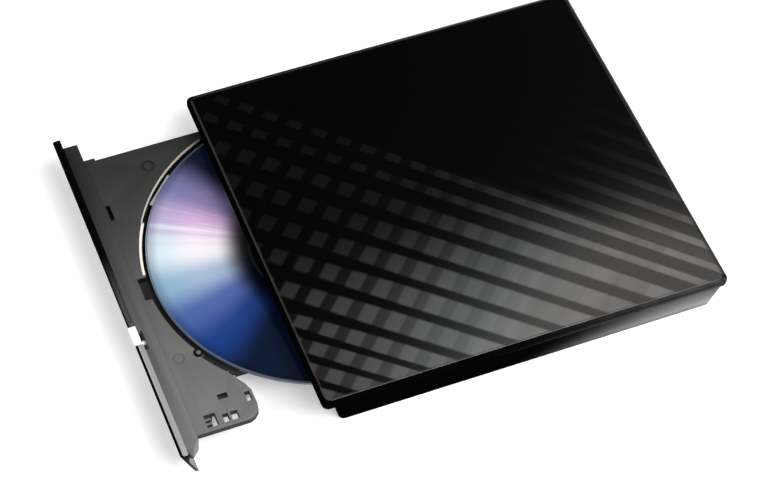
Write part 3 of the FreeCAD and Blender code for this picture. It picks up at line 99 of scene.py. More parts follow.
class Sheet:
    """One node tree, with short ways to add its nodes and join them."""

    def __init__(self, tree: bpy.types.NodeTree) -> None:
        """Starts work on a tree.

        Args:
            tree: The shader tree or node group that gets the nodes.
        """
        self.tree = tree

    def node(self, kind: str, **settings: object) -> bpy.types.Node:
        """Adds a node.

        Args:
            kind: The node's type name.
            settings: Properties to set on it.

        Returns:
            The new node.
        """
        made = self.tree.nodes.new(kind)
        for key, value in settings.items():
            setattr(made, key, value)
        return made

    def feed(self, target: bpy.types.NodeSocket, value: Term) -> None:
        """Joins a socket to another, or sets its number.

        Args:
            target: The input that is fed.
            value: A socket to join, or a plain value.
        """
        if isinstance(value, bpy.types.NodeSocket):
            self.tree.links.new(value, target)
        elif target.type == "RGBA" and not isinstance(value, float):
            target.default_value = (*value, 1.0)
        else:
            target.default_value = value

    def maths(self, operation: str, *terms: Term, clamp: bool = False) -> bpy.types.NodeSocket:
        """Works out one number from others.

        Args:
            operation: The Math node's operation.
            terms: Its inputs in order.
            clamp: Keeps the result between 0 and 1.

        Returns:
            The result socket.
        """
        made = self.node("ShaderNodeMath", operation=operation, use_clamp=clamp)
        for target, term in zip(made.inputs, terms):
            self.feed(target, term)
        return made.outputs[0]

    def fade(
        self, value: Term, start: Term, end: Term, low: Term = 0.0, high: Term = 1.0
    ) -> bpy.types.NodeSocket:
        """Eases a number from one level to another.

        Args:
            value: The number that drives the fade.
            start: Where the fade starts.
            end: Where it ends.
            low: The level before the start.
            high: The level after the end.

        Returns:
            The eased number.
        """
        made = self.node("ShaderNodeMapRange", interpolation_type="SMOOTHSTEP")
        names = ("Value", "From Min", "From Max", "To Min", "To Max")
        for name, term in zip(names, (value, start, end, low, high)):
            self.feed(made.inputs[name], term)
        return made.outputs["Result"]

    def mix(self, share: Term, first: Term, second: Term, how: str = "MIX") -> bpy.types.NodeSocket:
        """Mixes two colours.

        Args:
            share: How much of the second colour.
            first: The first colour.
            second: The second colour.
            how: The blend type.

        Returns:
            The mixed colour.
        """
        made = self.node("ShaderNodeMix", data_type="RGBA", blend_type=how)
        self.feed(made.inputs[0], share)
        self.feed(made.inputs[6], first)
        self.feed(made.inputs[7], second)
        return made.outputs[2]

    def ramp(self, value: Term, stops: Sequence[tuple[float, Colour]]) -> bpy.types.NodeSocket:
        """Turns a number into a colour.

        Args:
            value: The number, from 0 to 1.
            stops: Places along the ramp and their colours.

        Returns:
            The colour.
        """
        made = self.node("ShaderNodeValToRGB")
        band = made.color_ramp
        band.interpolation = "EASE"
        while len(band.elements) < len(stops):
            band.elements.new(0.5)
        for element, (position, colour) in zip(band.elements, stops):
            element.position = position
            element.color = (*colour, 1.0)
        self.feed(made.inputs[0], value)
        return made.outputs[0]

    def noise(
        self, place: Term, scale: Term, detail: float = 3.0, rough: float = 0.55
    ) -> bpy.types.NodeSocket:
        """Adds noise.

        Args:
            place: The coordinates that it follows.
            scale: Its frequency.
            detail: Its octaves.
            rough: How strong the fine octaves are.

        Returns:
            The noise value.
        """
        made = self.node("ShaderNodeTexNoise")
        self.feed(made.inputs["Vector"], place)
        self.feed(made.inputs["Scale"], scale)
        made.inputs["Detail"].default_value = detail
        made.inputs["Roughness"].default_value = rough
        return made.outputs[0]

    def stretched(
        self, place: Term, scale: Sequence[float], shift: Sequence[float] = (0.0, 0.0, 0.0)
    ) -> bpy.types.NodeSocket:
        """Moves and scales a pattern's coordinates.

        Args:
            place: The coordinates.
            scale: The scale along each axis.
            shift: Where the coordinates' zero goes, before scaling.

        Returns:
            The new coordinates.
        """
        moved = self.node("ShaderNodeVectorMath", operation="SUBTRACT")
        self.feed(moved.inputs[0], place)
        moved.inputs[1].default_value = shift
        made = self.node("ShaderNodeVectorMath", operation="MULTIPLY")
        self.feed(made.inputs[0], moved.outputs[0])
        made.inputs[1].default_value = scale
        return made.outputs[0]

    def split(self, place: Term) -> tuple[bpy.types.NodeSocket, ...]:
        """Gives the three numbers of a vector."""
        made = self.node("ShaderNodeSeparateXYZ")
        self.feed(made.inputs[0], place)
        return tuple(made.outputs)

    def joined(self, *terms: Term) -> bpy.types.NodeSocket:
        """Gives one vector of three numbers."""
        made = self.node("ShaderNodeCombineXYZ")
        for target, term in zip(made.inputs, terms):
            self.feed(target, term)
        return made.outputs[0]

    def place(self) -> bpy.types.NodeSocket:
        """Gives the piece's own coordinates, in metres."""
        return self.node("ShaderNodeTexCoord").outputs["Object"]

    def facing(self) -> bpy.types.NodeSocket:
        """Gives the surface's normal."""
        return self.node("ShaderNodeNewGeometry").outputs["Normal"]

    def use(self, effect: "Effect", **values: Term) -> bpy.types.Node:
        """Places a shared effect.

        Args:
            effect: The effect to place.
            values: Its inputs by name, with _ for a space.

        Returns:
            The group node.
        """
        made = self.node("ShaderNodeGroup", node_tree=effect.group())
        for key, value in values.items():
            self.feed(made.inputs[key.replace("_", " ")], value)
        return made

    def bump(self, height: Term, depth: float, strength: float = 1.0) -> bpy.types.NodeSocket:
        """Turns a height into a normal.

        Args:
            height: The height, from 0 to 1.
            depth: What a height of 1 measures, in metres.
            strength: How much of it shows.

        Returns:
            The normal.
        """
        made = self.node("ShaderNodeBump")
        made.inputs["Distance"].default_value = depth
        made.inputs["Strength"].default_value = strength
        self.feed(made.inputs["Height"], height)
        return made.outputs[0]


class Effect(Enum):
    """The surface effects that several materials share, each one node group."""

    GRAIN = "Moulded grain"
    HANDLING = "Handling marks"
    EDGES = "Worn edges"
    DUST = "Settled dust"
    BANDS = "Printed bands"
    TURNING = "Round a centre"
    DRAWN = "Drawn metal"

    def group(self) -> bpy.types.NodeTree:
        """Gives the effect's node group, built the first time it is asked for."""
        found = bpy.data.node_groups.get(self.value)
        return found or EFFECT_MAKERS[self](self.value)


def empty_group(
    name: str, inputs: dict[str, str], outputs: dict[str, str]
) -> tuple[Sheet, bpy.types.Node, bpy.types.Node]:
    """Starts a node group with named sockets.

    Args:
        name: The group's name.
        inputs: Socket types by input name.
        outputs: Socket types by output name.

    Returns:
        The group's sheet, its input node and its output node.
    """
    tree = bpy.data.node_groups.new(name, "ShaderNodeTree")
    for way, sockets in (("INPUT", inputs), ("OUTPUT", outputs)):
        for label, kind in sockets.items():
            tree.interface.new_socket(label, in_out=way, socket_type=f"NodeSocket{kind}")
    sheet = Sheet(tree)
    return sheet, sheet.node("NodeGroupInput"), sheet.node("NodeGroupOutput")


def make_grain(name: str) -> bpy.types.NodeTree:
    """Builds the spark-eroded grain of moulded plastic: a height and a tone."""
    sheet, given, result = empty_group(
        name, {"Place": "Vector", "Scale": "Float", "Spread": "Float"}, {"Height": "Float", "Tone": "Float"}
    )
    fine = sheet.noise(given.outputs["Place"], given.outputs["Scale"], 4.0, 0.7)
    cell = sheet.node("ShaderNodeTexVoronoi")
    sheet.feed(cell.inputs["Vector"], given.outputs["Place"])
    sheet.feed(cell.inputs["Scale"], sheet.maths("MULTIPLY", given.outputs["Scale"], 0.8))
    height = sheet.maths(
        "ADD", sheet.maths("MULTIPLY", fine, 0.7), sheet.maths("MULTIPLY", cell.outputs[0], 0.3)
    )
    broad = sheet.noise(given.outputs["Place"], 38.0, 2.0, 0.5)
    swing = sheet.maths("MULTIPLY", sheet.maths("SUBTRACT", broad, 0.5), given.outputs["Spread"])
    speck = sheet.maths("MULTIPLY", sheet.maths("SUBTRACT", fine, 0.5), given.outputs["Spread"])
    tone = sheet.maths("ADD", 1.0, sheet.maths("ADD", swing, speck))
    sheet.feed(result.inputs["Height"], height)
    sheet.feed(result.inputs["Tone"], tone)
    return sheet.tree


def make_handling(name: str) -> bpy.types.NodeTree:
    """Builds the faint smears and hairline scratches of a handled surface."""
    sheet, given, result = empty_group(
        name, {"Place": "Vector", "Amount": "Float"}, {"Roughness": "Float", "Height": "Float"}
    )
    smear = sheet.fade(sheet.noise(given.outputs["Place"], 26.0, 3.0, 0.6), 0.45, 0.75)
    lines: list[bpy.types.NodeSocket] = []
    for stretch in ((60.0, 1500.0, 60.0), (1300.0, 90.0, 60.0)):
        hair = sheet.noise(sheet.stretched(given.outputs["Place"], stretch), 1.0, 2.0, 0.5)
        lines.append(sheet.fade(hair, 0.72, 0.78))
    hairs = sheet.maths("MAXIMUM", *lines)
    level = sheet.maths("ADD", sheet.maths("MULTIPLY", smear, 0.6), sheet.maths("MULTIPLY", hairs, 0.4))
    sheet.feed(result.inputs["Roughness"], sheet.maths("MULTIPLY", level, given.outputs["Amount"]))
    sheet.feed(result.inputs["Height"], hairs)
    return sheet.tree


def make_edges(name: str) -> bpy.types.NodeTree:
    """Builds the mask of edges that touch has rubbed."""
    sheet, given, result = empty_group(name, {"Place": "Vector", "Amount": "Float"}, {"Mask": "Float"})
    softened_normal = sheet.node("ShaderNodeBevel", samples=4)
    softened_normal.inputs["Radius"].default_value = 0.22 * MM
    alike = sheet.node("ShaderNodeVectorMath", operation="DOT_PRODUCT")
    sheet.feed(alike.inputs[0], softened_normal.outputs[0])
    sheet.feed(alike.inputs[1], sheet.facing())
    sharp = sheet.fade(alike.outputs["Value"], 0.995, 0.93)
    patchy = sheet.fade(sheet.noise(given.outputs["Place"], 160.0, 4.0, 0.65), 0.4, 0.65)
    sheet.feed(
        result.inputs["Mask"],
        sheet.maths("MULTIPLY", sheet.maths("MULTIPLY", sharp, patchy), given.outputs["Amount"], clamp=True),
    )
    return sheet.tree


def make_dust(name: str) -> bpy.types.NodeTree:
    """Builds the mask of dust that lies on faces that look up."""
    sheet, given, result = empty_group(name, {"Place": "Vector", "Amount": "Float"}, {"Mask": "Float"})
    up = sheet.split(sheet.facing())[2]
    lying = sheet.fade(up, 0.55, 0.98)
    specks = sheet.fade(sheet.noise(given.outputs["Place"], 900.0, 2.0, 0.6), 0.66, 0.8)
    haze = sheet.fade(sheet.noise(given.outputs["Place"], 22.0, 4.0, 0.6), 0.35, 0.8)
    both = sheet.maths("ADD", sheet.maths("MULTIPLY", specks, 0.6), sheet.maths("MULTIPLY", haze, 0.25))
    sheet.feed(
        result.inputs["Mask"],
        sheet.maths("MULTIPLY", sheet.maths("MULTIPLY", lying, both), given.outputs["Amount"], clamp=True),
    )
    return sheet.tree


def make_bands(name: str) -> bpy.types.NodeTree:
    """Builds straight parallel bands: 1 on a band, 0 between, with soft sides."""
    sheet, given, result = empty_group(
        name,
        {"Across": "Float", "Pitch": "Float", "Start": "Float", "Share": "Float", "Softness": "Float"},
        {"Mask": "Float", "Count": "Float"},
    )
    turns = sheet.maths(
        "DIVIDE", sheet.maths("SUBTRACT", given.outputs["Across"], given.outputs["Start"]),
        given.outputs["Pitch"]
    )
    within = sheet.maths("FRACT", turns)
    from_middle = sheet.maths("ABSOLUTE", sheet.maths("SUBTRACT", within, 0.5))
    half = sheet.maths("MULTIPLY", given.outputs["Share"], 0.5)
    outer = sheet.maths("ADD", half, given.outputs["Softness"])
    inner = sheet.maths("SUBTRACT", half, given.outputs["Softness"])
    sheet.feed(result.inputs["Mask"], sheet.fade(from_middle, inner, outer, 1.0, 0.0))
    sheet.feed(result.inputs["Count"], sheet.maths("FLOOR", turns))
    return sheet.tree


def make_turning(name: str) -> bpy.types.NodeTree:
    """Builds the radius and the turn, from 0 to 1, round a centre at zero."""
    sheet, given, result = empty_group(name, {"Place": "Vector"}, {"Radius": "Float", "Turn": "Float"})
    across, along, _ = sheet.split(given.outputs["Place"])
    flat = sheet.joined(across, along, 0.0)
    length = sheet.node("ShaderNodeVectorMath", operation="LENGTH")
    sheet.feed(length.inputs[0], flat)
    angle = sheet.maths("ARCTAN2", along, across)
    sheet.feed(result.inputs["Radius"], length.outputs["Value"])
    sheet.feed(result.inputs["Turn"], sheet.maths("ADD", sheet.maths("DIVIDE", angle, math.tau), 0.5))
    return sheet.tree


def make_drawn(name: str) -> bpy.types.NodeTree:
    """Builds the long fine lines of drawn or rolled metal, along Y."""
    sheet, given, result = empty_group(
        name, {"Place": "Vector", "Scale": "Float"}, {"Height": "Float", "Tone": "Float"}
    )
    line_place = sheet.stretched(given.outputs["Place"], (1.0, 0.02, 1.0))
    line = sheet.noise(line_place, given.outputs["Scale"], 3.0, 0.7)
    cloud = sheet.noise(given.outputs["Place"], 45.0, 3.0, 0.5)
    sheet.feed(result.inputs["Height"], line)
    sheet.feed(
        result.inputs["Tone"],
        sheet.maths("ADD", 0.86, sheet.maths("MULTIPLY", sheet.maths("ADD", line, cloud), 0.14)),
    )
    return sheet.tree


EFFECT_MAKERS: dict[Effect, Callable[[str], bpy.types.NodeTree]] = {
    Effect.GRAIN: make_grain,
    Effect.HANDLING: make_handling,
    Effect.EDGES: make_edges,
    Effect.DUST: make_dust,
    Effect.BANDS: make_bands,
    Effect.TURNING: make_turning,
    Effect.DRAWN: make_drawn,
}


# ------------------------------------------------------------------ finishes


@dataclass(frozen=True)
class PaintedFalloff:
    """A painted falloff of light, darker towards one end of a long piece: its two ends along X in
    millimetres.
    """

    dim_end: float
    lit_end: float
    strength: float = 0.15


def with_painted_falloff(sheet: Sheet, place: Term, colour: Term, painted_falloff: Optional[PaintedFalloff]) -> Term:
    """Paints shade into a colour: darkens it towards one end of its piece.

    Args:
        sheet: The material's sheet.
        place: The place on the piece.
        colour: The colour at full strength.
        painted_falloff: The two ends of the painted shade, or none for an even colour.

    Returns:
        The colour at its strength there.
    """
    if painted_falloff is None:
        return colour
    across = sheet.maths("MULTIPLY", sheet.split(place)[0], LENGTH_UNIT_SCALE)
    level = sheet.fade(across, painted_falloff.dim_end, painted_falloff.lit_end, painted_falloff.strength, 1.0)
    return sheet.mix(1.0, colour, sheet.joined(level, level, level), "MULTIPLY")


def started(name: str) -> tuple[bpy.types.Material, Sheet, bpy.types.Node]:
    """Starts a material with one Principled shader.

    Args:
        name: The material's name.

    Returns:
        The material, its sheet and the shader.
    """
    material = bpy.data.materials.new(name)
    material.use_nodes = True
    sheet = Sheet(material.node_tree)
    return material, sheet, material.node_tree.nodes["Principled BSDF"]


@dataclass(frozen=True)
class Finish:
    """A surface finish that is built once and shared by the pieces that have it."""

    name: str
    slot: str

    def build(self) -> bpy.types.Material:
        """Builds the material. Each kind of finish has its own."""
        raise NotImplementedError

    def material(self) -> bpy.types.Material:
        """Gives the material, built the first time it is asked for."""
        return bpy.data.materials.get(self.name) or self.build()

    def put_on(self, piece: bpy.types.Object) -> None:
        """Gives a piece this finish all over.

        Args:
            piece: The piece to dress.
        """
        piece.data.materials.clear()
        piece.data.materials.append(self.material())

    def put_on_node(self, node: str) -> None:
        """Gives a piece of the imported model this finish.

        Args:
            node: The piece's name in the model.
        """
        for slot in frame["nodes"][node].material_slots:
            slot.material = self.material()


@dataclass(frozen=True)
class MouldedPlastic(Finish):
    """Plastic as it leaves the mould, from matt to polished."""

    colour: Colour
    roughness: float = 0.5
    grain: float = 1400.0
    grain_depth: float = 0.02 * MM
    spread: float = 0.12
    coat: float = 0.0
    specular: float = 0.5
    handling: float = 0.05
    wear: float = 0.2
    wear_colour: Colour = (0.2, 0.2, 0.2)
    dust: float = 0.05
    painted_falloff: Optional[PaintedFalloff] = None

    def tinted(self, sheet: Sheet, place: Term, colour: Term) -> Term:
        """Gives the plastic's colour at a place, with its painted falloff of light. A moulding with painted
        shade or highlights of its own adds them here.
        """
        return with_painted_falloff(sheet, place, colour, self.painted_falloff)

    def sheen(self, sheet: Sheet, place: Term) -> Term:
        """Gives how strongly the plastic shines at a place."""
        return self.specular

    def build(self) -> bpy.types.Material:
        """Builds the plastic."""
        material, sheet, shader = started(self.name)
        place = sheet.place()
        grain = sheet.use(Effect.GRAIN, Place=place, Scale=self.grain, Spread=self.spread)
        marks = sheet.use(Effect.HANDLING, Place=place, Amount=self.handling)
        edges = sheet.use(Effect.EDGES, Place=place, Amount=self.wear)
        dust = sheet.use(Effect.DUST, Place=place, Amount=self.dust)
        tone = sheet.joined(*[grain.outputs["Tone"]] * 3)
        colour = sheet.mix(1.0, self.colour, tone, "MULTIPLY")
        colour = self.tinted(sheet, place, colour)
        colour = sheet.mix(edges.outputs["Mask"], colour, self.wear_colour)
        colour = sheet.mix(dust.outputs["Mask"], colour, (0.42, 0.41, 0.39))
        rough = sheet.maths("ADD", self.roughness, marks.outputs["Roughness"])
        rough = sheet.maths("ADD", rough, sheet.maths("MULTIPLY", dust.outputs["Mask"], 0.4), clamp=True)
        sheet.feed(shader.inputs["Base Color"], colour)
        sheet.feed(shader.inputs["Roughness"], rough)
        sheet.feed(shader.inputs["Normal"], sheet.bump(grain.outputs["Height"], self.grain_depth, 0.6))
        shader.inputs["IOR"].default_value = 1.5
        sheet.feed(shader.inputs["Specular IOR Level"], self.sheen(sheet, place))
        shader.inputs["Coat Weight"].default_value = self.coat
        shader.inputs["Coat Roughness"].default_value = 0.04
        return material


@dataclass(frozen=True)
class TrayPlastic(MouldedPlastic):
    """The tray's plastic, with painted shade on its walls and in its recess, and a painted highlight round
    part of the disc's recess.
    """

    centre: tuple[float, float] = (0.0, -26.6)
    wall_shade: float = 0.12
    deck: float = 10.95
    recess_shade: float = 0.22
    painted_highlight_colour: Colour = (0.72, 0.67, 0.59)
    painted_highlight_height: float = 10.2

    def tinted(self, sheet: Sheet, place: Term, colour: Term) -> Term:
        """Gives the tray's colour, with painted shade on its walls and in its recess, and its painted
        highlight.
        """
        colour = with_painted_falloff(sheet, place, colour, self.painted_falloff)
        # Painted shade: faces that don't look up, such as the walls, are darker.
        up = sheet.fade(sheet.split(sheet.facing())[2], 0.3, 0.8, self.wall_shade, 1.0)
        shift = (self.centre[0] * MM, self.centre[1] * MM, 0.0)
        flat = sheet.stretched(place, (LENGTH_UNIT_SCALE,) * 3, shift)
        # Painted shade: below the deck, in the recess and the holes, the plastic is darker.
        recess_shade_mask = sheet.fade(sheet.split(flat)[2], self.deck - 1.2, self.deck, self.recess_shade, 1.0)
        up = sheet.maths("MULTIPLY", up, recess_shade_mask)
        colour = sheet.mix(1.0, colour, sheet.joined(up, up, up), "MULTIPLY")
        # Painted highlight: a pale line along the top edge of the disc's recess, over part of its turn.
        polar = sheet.use(Effect.TURNING, Place=flat)
        radius, turn = polar.outputs["Radius"], polar.outputs["Turn"]
        wide = self.between(sheet, radius, 61.0, 62.1, 0.1)
        wide = sheet.maths("MULTIPLY", wide, self.between(sheet, turn, 0.173, 0.232, 0.001))
        narrow = self.between(sheet, radius, 61.8, 62.4, 0.1)
        narrow = sheet.maths("MULTIPLY", narrow, self.between(sheet, turn, 0.061, 0.173, 0.001))
        above = sheet.fade(sheet.split(flat)[2], self.painted_highlight_height, self.painted_highlight_height + 0.2)
        painted_highlight = sheet.maths("MAXIMUM", wide, sheet.maths("MULTIPLY", narrow, 0.6))
        painted_highlight = sheet.maths("MULTIPLY", above, painted_highlight)
        return sheet.mix(painted_highlight, colour, self.painted_highlight_colour)

    @staticmethod
    def between(sheet: Sheet, value: Term, low: float, high: float, soft: float) -> bpy.types.NodeSocket:
        """Gives 1 between two limits and 0 outside them."""
        rise = sheet.fade(value, low - soft, low + soft)
        return sheet.maths("MULTIPLY", rise, sheet.fade(value, high - soft, high + soft, 1.0, 0.0))


@dataclass(frozen=True)
class ShellPlastic(MouldedPlastic):
    """The shell's polished black, with a painted reflection: its shine is painted to rise from none in front
    to full at the rear.
    """

    dark_to: float = -10.0
    bright_from: float = 95.0
    sharpness: float = 7.0

    def sheen(self, sheet: Sheet, place: Term) -> Term:
        """Gives the painted reflection: the shine is low in front and full at the rear."""
        along = sheet.maths("MULTIPLY", sheet.split(place)[1], LENGTH_UNIT_SCALE)
        rise = sheet.maths("POWER", sheet.fade(along, self.dark_to, self.bright_from), self.sharpness)
        return sheet.maths("MULTIPLY", rise, self.specular)


@dataclass(frozen=True)
class BezelPlastic(MouldedPlastic):
    """The bezel's polished black, with a painted grey reflection on its top edge beside the button."""

    painted_reflection: float = 0.066
    painted_reflection_from: float = -19.0
    painted_reflection_full: float = 9.0
    painted_reflection_end: float = 15.4
    top: float = 15.5
    rim: float = -100.6

    def tinted(self, sheet: Sheet, place: Term, colour: Term) -> Term:
        """Gives the bezel's colour, with its painted reflection."""
        across, along, height = sheet.split(sheet.stretched(place, (LENGTH_UNIT_SCALE,) * 3))
        # Painted reflection: grey on the top face, rising from the left towards the button.
        amount = sheet.maths("MULTIPLY", sheet.fade(across, self.painted_reflection_from, self.painted_reflection_full),
                             sheet.fade(across, self.painted_reflection_end, self.painted_reflection_end + 0.1, 1.0, 0.0))
        amount = sheet.maths("MULTIPLY", amount, sheet.fade(height, self.top - 0.7, self.top - 0.6))
        amount = sheet.maths("MULTIPLY", amount, sheet.fade(along, self.rim, self.rim + 0.3))
        return sheet.mix(amount, colour, (self.painted_reflection,) * 3)


@dataclass(frozen=True)
class PlatedMetal(Finish):
    """Sheet, rod or pressed metal with a plated or polished surface."""

    colour: Colour
    roughness: float = 0.32
    lines: float = 2600.0
    line_depth: float = 0.004 * MM
    anisotropy: float = 0.4
    tarnish: float = 0.25
    tarnish_colour: Colour = (0.3, 0.26, 0.2)
    metallic: float = 1.0

    def build(self) -> bpy.types.Material:
        """Builds the metal."""
        material, sheet, shader = started(self.name)
        place = sheet.place()
        drawn = sheet.use(Effect.DRAWN, Place=place, Scale=self.lines)
        marks = sheet.use(Effect.HANDLING, Place=place, Amount=0.12)
        edges = sheet.use(Effect.EDGES, Place=place, Amount=0.5)
        tone = sheet.joined(*[drawn.outputs["Tone"]] * 3)
        colour = sheet.mix(1.0, self.colour, tone, "MULTIPLY")
        patches = sheet.fade(sheet.noise(place, 75.0, 5.0, 0.6), 0.5, 0.8)
        colour = sheet.mix(sheet.maths("MULTIPLY", patches, self.tarnish), colour, self.tarnish_colour)
        colour = sheet.mix(edges.outputs["Mask"], colour, (0.8, 0.8, 0.8))
        rough = sheet.maths("ADD", self.roughness, marks.outputs["Roughness"])
        sheet.feed(shader.inputs["Base Color"], colour)
        rough = sheet.maths("ADD", rough, sheet.maths("MULTIPLY", patches, 0.12))
        sheet.feed(shader.inputs["Roughness"], rough)
        sheet.feed(shader.inputs["Normal"], sheet.bump(drawn.outputs["Height"], self.line_depth, 0.5))
        shader.inputs["Metallic"].default_value = self.metallic
        shader.inputs["Anisotropic"].default_value = self.anisotropy
        return material


@dataclass(frozen=True)
class SoftRubber(Finish):
    """Rubber or open foam, matt and slightly mottled."""

    colour: Colour
    pores: float = 900.0
    depth: float = 0.05 * MM
    sheen: float = 0.2

    def build(self) -> bpy.types.Material:
        """Builds the rubber."""
        material, sheet, shader = started(self.name)
        place = sheet.place()
        grain = sheet.use(Effect.GRAIN, Place=place, Scale=self.pores, Spread=0.35)
        dust = sheet.use(Effect.DUST, Place=place, Amount=0.3)
        edges = sheet.use(Effect.EDGES, Place=place, Amount=0.5)
        colour = sheet.mix(1.0, self.colour, sheet.joined(*[grain.outputs["Tone"]] * 3), "MULTIPLY")
        colour = sheet.mix(edges.outputs["Mask"], colour, (0.12, 0.12, 0.12))
        colour = sheet.mix(dust.outputs["Mask"], colour, (0.3, 0.29, 0.27))
        sheet.feed(shader.inputs["Base Color"], colour)
        sheet.feed(shader.inputs["Roughness"], sheet.fade(grain.outputs["Height"], 0.2, 0.8, 0.68, 0.92))
        sheet.feed(shader.inputs["Normal"], sheet.bump(grain.outputs["Height"], self.depth, 0.7))
        shader.inputs["Sheen Weight"].default_value = self.sheen
        return material


@dataclass(frozen=True)
class CircuitBoard(Finish):
    """A green board: solder mask over copper runs, with tinned pads."""

    colour: Colour = (0.012, 0.11, 0.045)
    run_pitch: float = 1.3
    pad_pitch: float = 2.6

    def build(self) -> bpy.types.Material:
        """Builds the board."""
        material, sheet, shader = started(self.name)
        place = sheet.place()
        across, along, _ = sheet.split(sheet.stretched(place, (LENGTH_UNIT_SCALE,) * 3))
        wander = sheet.maths("MULTIPLY", sheet.noise(place, 90.0, 0.0, 0.0), 14.0)
        runs_y = sheet.use(
            Effect.BANDS, Across=sheet.maths("ADD", across, wander), Pitch=self.run_pitch,
            Start=0.0, Share=0.35, Softness=0.08,
        ).outputs["Mask"]
        runs_x = sheet.use(
            Effect.BANDS, Across=sheet.maths("ADD", along, wander), Pitch=self.run_pitch,
            Start=0.0, Share=0.3, Softness=0.08,
        ).outputs["Mask"]
        region = sheet.fade(sheet.noise(place, 55.0, 1.0, 0.4), 0.48, 0.52)
        runs = sheet.node("ShaderNodeMix", data_type="FLOAT")
        for target, term in zip((runs.inputs[0], runs.inputs[2], runs.inputs[3]), (region, runs_x, runs_y)):
            sheet.feed(target, term)
        pads = [
            sheet.use(Effect.BANDS, Across=value, Pitch=self.pad_pitch, Start=0.6, Share=0.34, Softness=0.06)
            for value in (across, along)
        ]
        chosen = sheet.fade(sheet.noise(place, 130.0, 0.0, 0.0), 0.58, 0.6)
        pad = sheet.maths("MULTIPLY", pads[0].outputs["Mask"], pads[1].outputs["Mask"])
        pad = sheet.maths("MULTIPLY", pad, chosen)
        copper = sheet.mix(runs.outputs[0], self.colour, (0.03, 0.2, 0.08))
        colour = sheet.mix(pad, copper, (0.62, 0.6, 0.55))
        sheet.feed(shader.inputs["Base Color"], colour)
        sheet.feed(shader.inputs["Metallic"], sheet.maths("MULTIPLY", pad, 0.9))
        sheet.feed(shader.inputs["Roughness"], sheet.fade(pad, 0.0, 1.0, 0.3, 0.42))
        raised = sheet.maths("ADD", runs.outputs[0], pad)
        sheet.feed(shader.inputs["Normal"], sheet.bump(raised, 0.03 * MM, 0.8))
        return material


@dataclass(frozen=True)
class ClearPlastic(Finish):
    """Clear moulded plastic or coated glass."""

    colour: Colour
    roughness: float = 0.06
    transmission: float = 0.9

    def build(self) -> bpy.types.Material:
        """Builds the clear plastic."""
        material, sheet, shader = started(self.name)
        place = sheet.place()
        marks = sheet.use(Effect.HANDLING, Place=place, Amount=0.08)
        cloud = sheet.noise(place, 420.0, 3.0, 0.5)
        darker = tuple(0.8 * part for part in self.colour)
        colour = sheet.mix(sheet.fade(cloud, 0.3, 0.8), self.colour, darker)
        sheet.feed(shader.inputs["Base Color"], colour)
        sheet.feed(shader.inputs["Roughness"], sheet.maths("ADD", self.roughness, marks.outputs["Roughness"]))
        sheet.feed(shader.inputs["Normal"], sheet.bump(cloud, 0.004 * MM, 0.3))
        shader.inputs["Transmission Weight"].default_value = self.transmission
        shader.inputs["IOR"].default_value = 1.49
        return material


@dataclass(frozen=True)
class FilmStrip(Finish):
    """Amber film with fine copper runs along it."""

    colour: Colour = (0.5, 0.33, 0.12)
    run_pitch: float = 0.5

    def build(self) -> bpy.types.Material:
        """Builds the film."""
        material, sheet, shader = started(self.name)
        place = sheet.place()
        across = sheet.maths("MULTIPLY", sheet.split(place)[0], LENGTH_UNIT_SCALE)
        runs = sheet.use(
            Effect.BANDS, Across=across, Pitch=self.run_pitch, Start=0.0, Share=0.5, Softness=0.12
        ).outputs["Mask"]
        drawn = sheet.use(Effect.DRAWN, Place=place, Scale=900.0)
        colour = sheet.mix(runs, self.colour, (0.62, 0.4, 0.16))
        colour = sheet.mix(1.0, colour, sheet.joined(*[drawn.outputs["Tone"]] * 3), "MULTIPLY")
        sheet.feed(shader.inputs["Base Color"], colour)
        sheet.feed(shader.inputs["Roughness"], sheet.fade(drawn.outputs["Height"], 0.2, 0.8, 0.22, 0.4))
        sheet.feed(shader.inputs["Normal"], sheet.bump(runs, 0.015 * MM, 0.6))
        shader.inputs["Coat Weight"].default_value = 0.4
        return material


